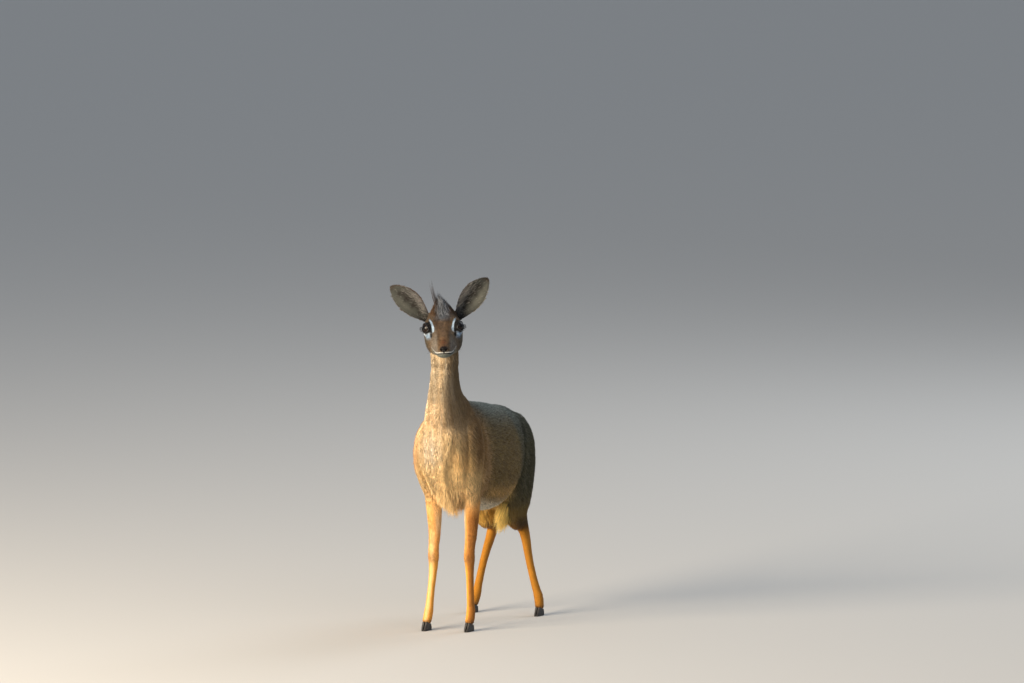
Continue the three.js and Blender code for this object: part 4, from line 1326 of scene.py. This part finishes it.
# The left skirt's brighter yellow, beside the right's darker one, is painted light.
fringe("hair_skirt_right", skirt * (X_MM <= 0) * 0.4, "pale_coat", 1.0, 24, (0.2, -0.1, -1), "d9a94e")
fringe("hair_skirt_left", skirt * (X_MM > 0), "pale_coat", 1.0, 33, (-0.35, -0.15, -1), "ffdc7c")
groin = of_kind("barrel", "rump") * ramp(-0.3, -0.75, NZ) * dip(Y_MM - 120, 24) * dip(X_MM - 14, 28)
fringe("hair_groin", groin, "pale_coat", 0.7, 40, (0.05, 0.1, -1), "f0c46c")
hind_edge = of_kind("thigh", "gaskin") * ramp(0.35, 0.8, NY) * ramp(165, 180, Z_MM) * ramp(330, 290, Z_MM)
fringe("hair_thigh_backs", hind_edge, "grizzled_coat", 0.3, 14, (0, 0.2, -1), "6a6046", own=0.5)

# %% [markdown]
# A dik-dik's eye looks almost black: a broad oval pupil in a dark brown iris. A museum uses a glass eye, a ball
# with the iris behind a clear dome. Here the ball is one surface with a glossy coat, which gives the same
# wet light, and the iris is drawn by how far a point lies from the way the eye looks.

# %% The eye's wet brown
eye_material, ns, links, shader = material("wet_eye")
look = attribute(ns, "look")
split = ns.new("ShaderNodeSeparateXYZ")
links.new(look.outputs["Vector"], split.inputs[0])


def maths(operation, a, b):
    """A math node of the eye's material, on numbers or on other nodes' outputs."""
    node = ns.new("ShaderNodeMath")
    node.operation = operation
    for socket, value in zip(node.inputs, (a, b)):
        if isinstance(value, (int, float)):
            socket.default_value = value
        else:
            links.new(value, socket)
    return node.outputs[0]


def oval(wide, high):
    """1 on the rim of an oval round the middle of the eye, less inside."""
    across = maths("POWER", maths("DIVIDE", split.outputs["X"], wide), 2)
    rise = maths("POWER", maths("DIVIDE", split.outputs["Y"], high), 2)
    return maths("ADD", across, rise)


IRIS_STOPS = [
    (0.14, (0.001, 0.001, 0.001, 1)),
    (0.2, (0.010, 0.0045, 0.002, 1)),
    (0.52, (0.006, 0.003, 0.002, 1)),
    (0.62, (0.012, 0.009, 0.008, 1)),
]
iris_ramp = ns.new("ShaderNodeValToRGB")
stops = iris_ramp.color_ramp.elements
for k, (place, colour) in enumerate(IRIS_STOPS):
    stop = stops[k] if k < 2 else stops.new(place)
    stop.position = place
    stop.color = colour
fibres = noise(ns, links, 1200, 4.0)
wobble = maths("MULTIPLY", maths("SUBTRACT", fibres.outputs["Fac"], 0.5), 0.12)
links.new(maths("ADD", oval(1.15, 0.8), wobble), iris_ramp.inputs["Fac"])
links.new(iris_ramp.outputs["Color"], shader.inputs["Base Color"])
shader.inputs["Roughness"].default_value = 0.15
shader.inputs["Specular IOR Level"].default_value = 0.05
shader.inputs["Coat Weight"].default_value = 0.28
shader.inputs["Coat Roughness"].default_value = 0.02
print("pupil, iris and white:", len(stops), "stops")

# %% Eyeballs
CORNEA = 0.5 * MM
CORNEA_EDGE = 0.8
for side in SIGN:
    bm = ball(eye_centre[side], EYE_RADIUS * MM)
    axes = eye_axes(side)
    gaze = Vector(axes[2])
    for v in bm.verts:
        away = (v.co - eye_centre[side]).normalized()
        v.co += away * CORNEA * max(0, (away.dot(gaze) - CORNEA_EDGE) / 0.2)
    mesh = as_mesh(bm, f"eyeball_{side}")
    local = (points_of(mesh) - np.array(eye_centre[side])) @ axes.T / (EYE_RADIUS * MM)
    look_data = mesh.attributes.new("look", "FLOAT_VECTOR", "POINT").data
    look_data.foreach_set("vector", local.astype(np.float32).ravel())
    finished(new_object(f"eyeball_{side}", mesh, eye_material), "eye", f"eye_{side}")
    print(f"eyeball_{side}", len(mesh.polygons), "faces")

# %% [markdown]
# The lid's bare rim is a thin black roll that hugs the eyeball. It is drawn as a curve along the opening,
# thickened, and turned into a mesh.

# %% Lid rims
RIM_RADIUS = 0.62 * MM
RIM_FAR = 11.75
rim_material, ns, links, shader = material("black_lid_rim")
shader.inputs["Base Color"].default_value = (0.008, 0.007, 0.007, 1)
rim_pores = noise(ns, links, 2500, 2.0)
links.new(scaled(ns, links, rim_pores.outputs["Fac"], 0.25, 0.5), shader.inputs["Roughness"])


def roll(name, points, radius, mat):
    """A closed round roll along points, as a mesh."""
    curve = bpy.data.curves.new(name, "CURVE")
    curve.dimensions = "3D"
    curve.bevel_depth = radius
    curve.bevel_resolution = 3
    spline = curve.splines.new("POLY")
    spline.points.add(len(points) - 1)
    spline.points.foreach_set("co", np.hstack([points, np.ones((len(points), 1))]).ravel())
    spline.use_cyclic_u = True
    ob = bpy.data.objects.new(name, curve)
    mesh = bpy.data.meshes.new_from_object(ob)
    bpy.data.objects.remove(ob)
    return new_object(name, mesh, mat)


def on_lid(side, a, b, far):
    """Room points over the eye: a along the lids, b up, in millimetres, at a distance from its middle."""
    ahead = np.sqrt(np.maximum(far**2 - a**2 - b**2, 0))
    return np.array(eye_centre[side]) + np.stack([a, b, ahead], axis=1) @ eye_axes(side) * MM


for side in SIGN:
    path = on_lid(side, almond[:, 0], almond[:, 1], RIM_FAR)
    rim = finished(roll(f"lid_rim_{side}", path, RIM_RADIUS, rim_material), "nose_skin")
    print(rim.name, len(rim.data.polygons), "faces")

# %% [markdown]
# Lashes stand along the upper rim, three at each of its points, fanned outwards and longest at the outer end.

# %% Lashes
LASH_FAR = 12.2
LASHES_AT_A_POINT = 3
lash_root, lash_along, lash_bow, lash_side = [], [], [], []
for side in SIGN:
    along, up, gaze = eye_axes(side)
    upper = almond[(almond[:, 1] > 1.0) & (almond[:, 0] > -6.5)]
    spots = on_lid(side, upper[:, 0], upper[:, 1], LASH_FAR)
    for (a, _), spot in zip(upper, spots):
        for _ in range(LASHES_AT_A_POINT):
            fan = a / LID_LENGTH + draw.normal(0, 0.12)
            reach = (2.8 + 3.2 * max(0, fan)) * draw.uniform(0.75, 1.15) * MM
            way = gaze * 0.8 + along * (0.75 * fan + 0.15) + up * 0.35
            lash_root.append(spot + along * draw.normal(0, 0.3) * MM)
            lash_along.append(way / np.linalg.norm(way) * reach)
            lash_bow.append((up * 0.35 - gaze * 0.25) * reach)
            lash_side.append(along)
lash_root, lash_along, lash_bow, lash_side = map(np.array, (lash_root, lash_along, lash_bow, lash_side))
lashes = len(lash_root)
black = np.tile(tint("15110f"), (lashes, 1))
skin_tree = BVHTree.FromPolygons(skin_points.tolist(), triangles.tolist())


def skin_spots(points):
    """Where on the skin's unwrap the nearest corners of some room points lie."""
    faces = [skin_tree.find_nearest(p)[2] for p in points.tolist()]
    return np.clip(np.array([skin_uv[face].mean(axis=0) for face in faces]), PATCH, 1 - PATCH)


lash_width, lash_thick = np.full(lashes, 0.28 * MM), np.full(lashes, 0.2 * MM)
blades("lashes", lash_root, lash_along, lash_bow, lash_side, lash_width, lash_thick,
       black, black, skin_spots(lash_root), "nose_skin", rings=HAIR_RINGS)

# %% [markdown]
# The crest is what names the animal: a mound of stiff hair on the whole crown, grey and streaked in the middle
# and rufous at its sides. Its hairs lean together to a point on the animal's right, from which a few long wisps
# curl up. Fine blades replace the solid's few locks.

# %% Crest
PEAK_SIDE = -3
PEAK_FORWARD = -26
CREST_HAIRS = 2200
WISPS = 18
WISP_LENGTHS = (26, 46)
WISP_WIDTH = 1.15
WISP_BROWN = "38281d"
CREST_AT, CREST_LENGTHS = [0, 0.2, 0.45, 0.75, 1], [26, 21, 17, 13, 7]


def crest_roots():
    """Places on the crown, the wisps' first, and how far off the peak they are: 1 at the crest's edge."""
    side = draw.uniform(-26, 25, CREST_HAIRS)
    forward = draw.uniform(-50, 8, CREST_HAIRS)
    side[:WISPS] = PEAK_SIDE - 3 + draw.normal(0, 1.2, WISPS)
    forward[:WISPS] = PEAK_FORWARD + draw.normal(0, 1.5, WISPS)
    half_wide = np.where(side > PEAK_SIDE, 34, 20)
    half_long = np.where(forward > PEAK_FORWARD, 33, 27)
    off_peak = np.hypot((side - PEAK_SIDE) / half_wide, (forward - PEAK_FORWARD) / half_long)
    keep = (off_peak < 1.0) | (np.arange(CREST_HAIRS) < WISPS)
    return side[keep], forward[keep], off_peak[keep]


def crest():
    side, forward, off_peak = crest_roots()
    count = len(side)
    root = np.array([in_head(s, f, crown_height(s, f) - 1.6) for s, f in zip(side, forward)])
    way = np.stack([(PEAK_SIDE - side) / 30, (PEAK_FORWARD - forward) / 48 - 0.1, np.ones(count)], axis=1)
    way += draw.normal(0, 0.12, way.shape)
    lean = np.tile([-0.2, -0.55, 0.15], (count, 1))
    way[:WISPS] = np.array([-0.44, -0.1, 1]) + draw.normal(0, 0.022, (WISPS, 3))
    lean[:WISPS] = [0.4, 0, 0.5]
    turn = np.array(head_turn.to_3x3())
    to_room = np.array([1, -1, 1])
    way, lean = Roots.unit(way * to_room @ turn.T), Roots.unit(lean * to_room @ turn.T)
    length = np.interp(off_peak, CREST_AT, CREST_LENGTHS) * draw.uniform(0.7, 1.15, count) * MM
    length[:WISPS] = np.linspace(*WISP_LENGTHS, WISPS) * MM
    across = Roots.unit(np.cross(way, lean) + draw.normal(0, 0.4, way.shape))
    grey = tint("73777d") * draw.uniform(0.2, 1.9, (count, 1))
    rufous = tint("5a432e") * draw.uniform(0.6, 1.25, (count, 1))
    at_side = ramp(9, 15, np.abs(side - 2.5 + draw.normal(0, 2.5, count)))[:, None]
    low = grey + at_side * (rufous - grey)
    tip = np.where(draw.random((count, 1)) < 0.4, tint("1d1917") + 0 * low, low * 1.2)
    low[:WISPS] = tip[:WISPS] = tint(WISP_BROWN)
    width = draw.uniform(0.5, 0.95, count) * MM
    width[:WISPS] = WISP_WIDTH * MM
    curl = np.interp(off_peak, [0, 0.5, 1], [0.3, 0.25, 0.12])
    along, bow = way * length[:, None], lean * (curl * length)[:, None]
    return blades("crest", root, along, bow, across, width, 0.4 * width, low * 0.8, tip,
                  skin_spots(root), "fawn_coat", rings=HAIR_RINGS)


crest()

# %% [markdown]
# Long pale hairs grow from the ear's inner edge and its root, and lie across the cup. They are what makes the
# ears look grey and streaked from the front.

# %% Hair inside the ears
def ear_hair():
    r = Roots((of_kind("ear") & (in_cup > 0.4)).astype(float), 0.42)
    n = r.count
    swing, along_ear = r.read(ear_swing), r.read(ear_along)
    inner_edge = ramp(-0.1, 0.7, swing) * ramp(0.95, 0.5, along_ear)
    keep = draw.random(n) < 0.12 + 0.6 * np.maximum(inner_edge, ramp(0.3, 0.1, along_ear))
    side_of = np.where(r.read(side_mm) > 0, 1, -1)
    out, outwards = np.zeros((n, 3)), np.zeros((n, 3))
    for side in SIGN:
        _, way, across, face = ear_axes(side)
        mine = side_of == SIGN[side]
        out[mine] = face
        outwards[mine] = across * SIGN[side] * 0.55 + way * 0.8
    length = (5 + 8 * inner_edge) * draw.uniform(0.6, 1.2, n) * ramp(1.05, 0.8, along_ear) * MM
    way = Roots.unit(outwards + 0.4 * r.lie + draw.normal(0, 0.14, (n, 3)))
    side = Roots.unit(np.cross(out, way))
    along = way * length[:, None] + out * (0.3 * length)[:, None]
    bow = -out * (0.28 * length)[:, None]
    pale = tint("7b7975") * draw.uniform(0.45, 1.2, (n, 1))
    width = np.full(n, 0.5 * MM)
    every = (r.place, along, bow, side, width, 0.3 * width, pale * 0.8, pale, r.uv)
    blades("ear_hair", *(values[keep] for values in every), "ear_coat", rings=HAIR_RINGS)


ear_hair()

# %% [markdown]
# Whiskers and chin hairs are few, stiff and dark, and stand out from the lips.

# %% Whiskers
WHISKER_RINGS = 5


def whiskers():
    rows = [(s, f, u) for s in (1, -1) for f in (26, 31, 36, 41) for u in (-38, -34.5, -31)]
    rows += [(s * 0.5, f, -50) for s in (1, -1) for f in (24, 30, 36)]
    root, along = [], []
    for side, forward, up in rows:
        under_chin = up < -45
        guess = in_head(side * 20, forward, up)
        spot, normal, _, _ = skin_tree.find_nearest(guess)
        way = normal * 0.8 + way_in_head(side * 0.5, -0.45, -1 if under_chin else -0.25)
        root.append(spot)
        along.append(way.normalized() * draw.uniform(12, 20) * (0.4 if under_chin else 1.0) * MM)
    root, along = np.array(root), np.array(along)
    n = len(root)
    side = Roots.unit(np.cross(along, np.array([0.2, 0.1, 1.0])))
    bow = np.tile([0, 0, -2.5 * MM], (n, 1))
    dark = np.tile(tint("30271f"), (n, 1))
    blades("whiskers", root, along, bow, side, np.full(n, 0.22 * MM), np.full(n, 0.2 * MM), dark, dark,
           skin_spots(root), "nose_skin", rings=WHISKER_RINGS)


whiskers()

# %% [markdown]
# A hoof is two pointed claws of black horn with fine growth rings. The solid claws have the right shape but sharp
# faceted edges. Copies of them are melted into small even faces, rounded by smoothing, and drawn in a little at
# the top. The rings are a wave in height that only bends the light.

# %% Black horn
RINGS_SCALE = 260
HORN_TONES = [(0.012, 0.010, 0.009, 1), (0.035, 0.030, 0.026, 1)]
horn, ns, links, shader = material("black_horn")
coords = ns.new("ShaderNodeTexCoord")
rings_wave = ns.new("ShaderNodeTexWave")
rings_wave.bands_direction = "Z"
rings_wave.inputs["Scale"].default_value = RINGS_SCALE
rings_wave.inputs["Distortion"].default_value = 1.5
links.new(coords.outputs["Object"], rings_wave.inputs["Vector"])
horn_tone = ns.new("ShaderNodeValToRGB")
for stop, colour in zip(horn_tone.color_ramp.elements, HORN_TONES):
    stop.color = colour
horn_noise = noise(ns, links, 320, 3.0)
links.new(horn_noise.outputs["Fac"], horn_tone.inputs["Fac"])
links.new(horn_tone.outputs["Color"], shader.inputs["Base Color"])
links.new(scaled(ns, links, horn_noise.outputs["Fac"], 0.35, 0.6), shader.inputs["Roughness"])
bumped(ns, links, shader, rings_wave.outputs["Fac"], 0.4, 0.0003)
print("horn has", len(ns), "nodes")

# %% Hooves
CLAW_VOXEL = 0.7 * MM
CLAW_ROUNDS = 12
CLAW_FOOT, CLAW_HEIGHT = 5, 14
CORONET_WIDE, CORONET_SHORTER = 0.8, 0.1


def rounded_claw(node, middle):
    """A smooth copy of a claw, drawn in towards the foot's middle at the coronet."""
    fine = remeshed(merged_copy(node), CLAW_VOXEL)
    smooth(fine, fine.verts[:], CLAW_ROUNDS)
    for v in fine.verts:
        if v.co.z < CLAW_VOXEL:
            v.co.z = 0
        up = max(0.0, v.co.z / MM - CLAW_FOOT) / CLAW_HEIGHT
        v.co.x = middle.x + (v.co.x - middle.x) * (1 - (1 - CORONET_WIDE) * up)
        v.co.y = middle.y + (v.co.y - middle.y) * (1 - CORONET_SHORTER * up)
    bmesh.ops.triangulate(fine, faces=fine.faces)
    return facing_out(fine)


print("claws are remeshed at", CLAW_VOXEL / MM, "mm")

# %% [markdown]
# Behind each pastern sit two dew claws, small drops of horn that never touch the ground. Each is a stretched ball,
# drawn back below its middle.

# %% Dew claws, and the horn of every leg
DEW_SIZE = (1.6 * MM, 1.8 * MM, 3.0 * MM)
DEW_APART, DEW_INSET, DEW_HEIGHT = 3.4 * MM, 3.0 * MM, 28 * MM


def dew_claw(centre):
    bm = bmesh.new()
    bmesh.ops.create_uvsphere(bm, u_segments=16, v_segments=10, radius=1)
    bmesh.ops.scale(bm, vec=DEW_SIZE, verts=bm.verts)
    for v in bm.verts:
        v.co.y += 0.35 * min(0, v.co.z)
    bmesh.ops.translate(bm, vec=centre, verts=bm.verts)
    return bm


for leg in LEGS:
    claw_nodes = [f"claw_outer_{leg}", f"claw_inner_{leg}"]
    low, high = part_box(f"pastern_{leg}")
    foot = (middle(claw_nodes[0]) + middle(claw_nodes[1])) / 2
    foot.y = (low.y + high.y) / 2
    hoof = as_mesh(poured([rounded_claw(n, foot) for n in claw_nodes]), f"hoof_{leg}")
    finished(new_object(f"hoof_{leg}", hoof, horn), "hoof_horn", *claw_nodes)
    spots = [((low.x + high.x) / 2 + half * DEW_APART, high.y - DEW_INSET, DEW_HEIGHT) for half in (-1, 1)]
    pair = as_mesh(poured([dew_claw(spot) for spot in spots]), f"dew_claws_{leg}")
    finished(new_object(f"dew_claws_{leg}", pair, horn), "hoof_horn")
    print(leg, "hoof", len(hoof.polygons), "faces, dew claws", len(pair.polygons))

# %% [markdown]
# The studio: a pale floor far wider than the picture, a large warm light low in front on the animal's right, a
# weak cool one opposite, another behind, and a pale blue sky.

# %% Floor and sky
FLOOR_RADIUS = 60
SKY_STRENGTH = 0.42
floor_bm = bmesh.new()
bmesh.ops.create_circle(floor_bm, cap_ends=True, segments=128, radius=FLOOR_RADIUS)
floor_material, ns, links, shader = material("studio_floor")
shader.inputs["Base Color"].default_value = (0.62, 0.60, 0.56, 1)
shader.inputs["Roughness"].default_value = 0.9
floor = new_object("floor", as_mesh(floor_bm, "floor"), floor_material)

world = bpy.data.worlds.new("pale_sky")
bpy.context.scene.world = world
world.use_nodes = True
sky = world.node_tree.nodes["Background"]
sky.inputs["Color"].default_value = (0.72, 0.8, 0.92, 1)
sky.inputs["Strength"].default_value = SKY_STRENGTH
print("floor", 2 * FLOOR_RADIUS, "m across")

# %% Lights
LIGHT_AIM = Vector((0, 0, 0.3))


def area_light(name, place, size, power, colour):
    """A round soft light that looks at the middle of the animal. Sizes are metres, powers watts."""
    light = bpy.data.lights.new(name, "AREA")
    light.shape = "DISK"
    light.size = size
    light.energy = power
    light.color = colour
    ob = bpy.data.objects.new(name, light)
    ob.location = place
    ob.rotation_euler = (LIGHT_AIM - Vector(place)).to_track_quat("-Z", "Y").to_euler()
    bpy.context.collection.objects.link(ob)
    print(name, power, "W")


area_light("key", (-2.1, -3.85, 1.3), 3.0, 520, (1.0, 0.85, 0.66))
area_light("fill", (3.4, -2.0, 2.4), 3.0, 14, (0.8, 0.88, 1.0))
area_light("back", (1.5, 3.4, 3.0), 2.5, 60, (0.85, 0.92, 1.0))

# %% [markdown]
# The camera stands ten metres away, about as high as a person's eyes, in front on the animal's left. It looks down
# by six degrees through a long lens, as one photographs a shy animal, and is aimed past the animal, which stands
# left of the picture's middle.

# %% Camera
CAMERA_AZIMUTH = radians(22)
CAMERA_RISE = radians(6)
CAMERA_DISTANCE = 10.15
LENS = 207.4
AIM = Vector((0.0984, -0.0466, 0.5026))
camera_data = bpy.data.cameras.new("camera")
camera_data.lens = LENS
camera_data.sensor_width = 36
camera = bpy.data.objects.new("camera", camera_data)
level = cos(CAMERA_RISE)
back = Vector((sin(CAMERA_AZIMUTH) * level, -cos(CAMERA_AZIMUTH) * level, sin(CAMERA_RISE)))
camera.location = AIM + back * CAMERA_DISTANCE
camera.rotation_euler = back.to_track_quat("Z", "Y").to_euler()
bpy.context.collection.objects.link(camera)
bpy.context.scene.camera = camera
bpy.context.scene.view_settings.view_transform = "Standard"
print("camera at", camera.location)
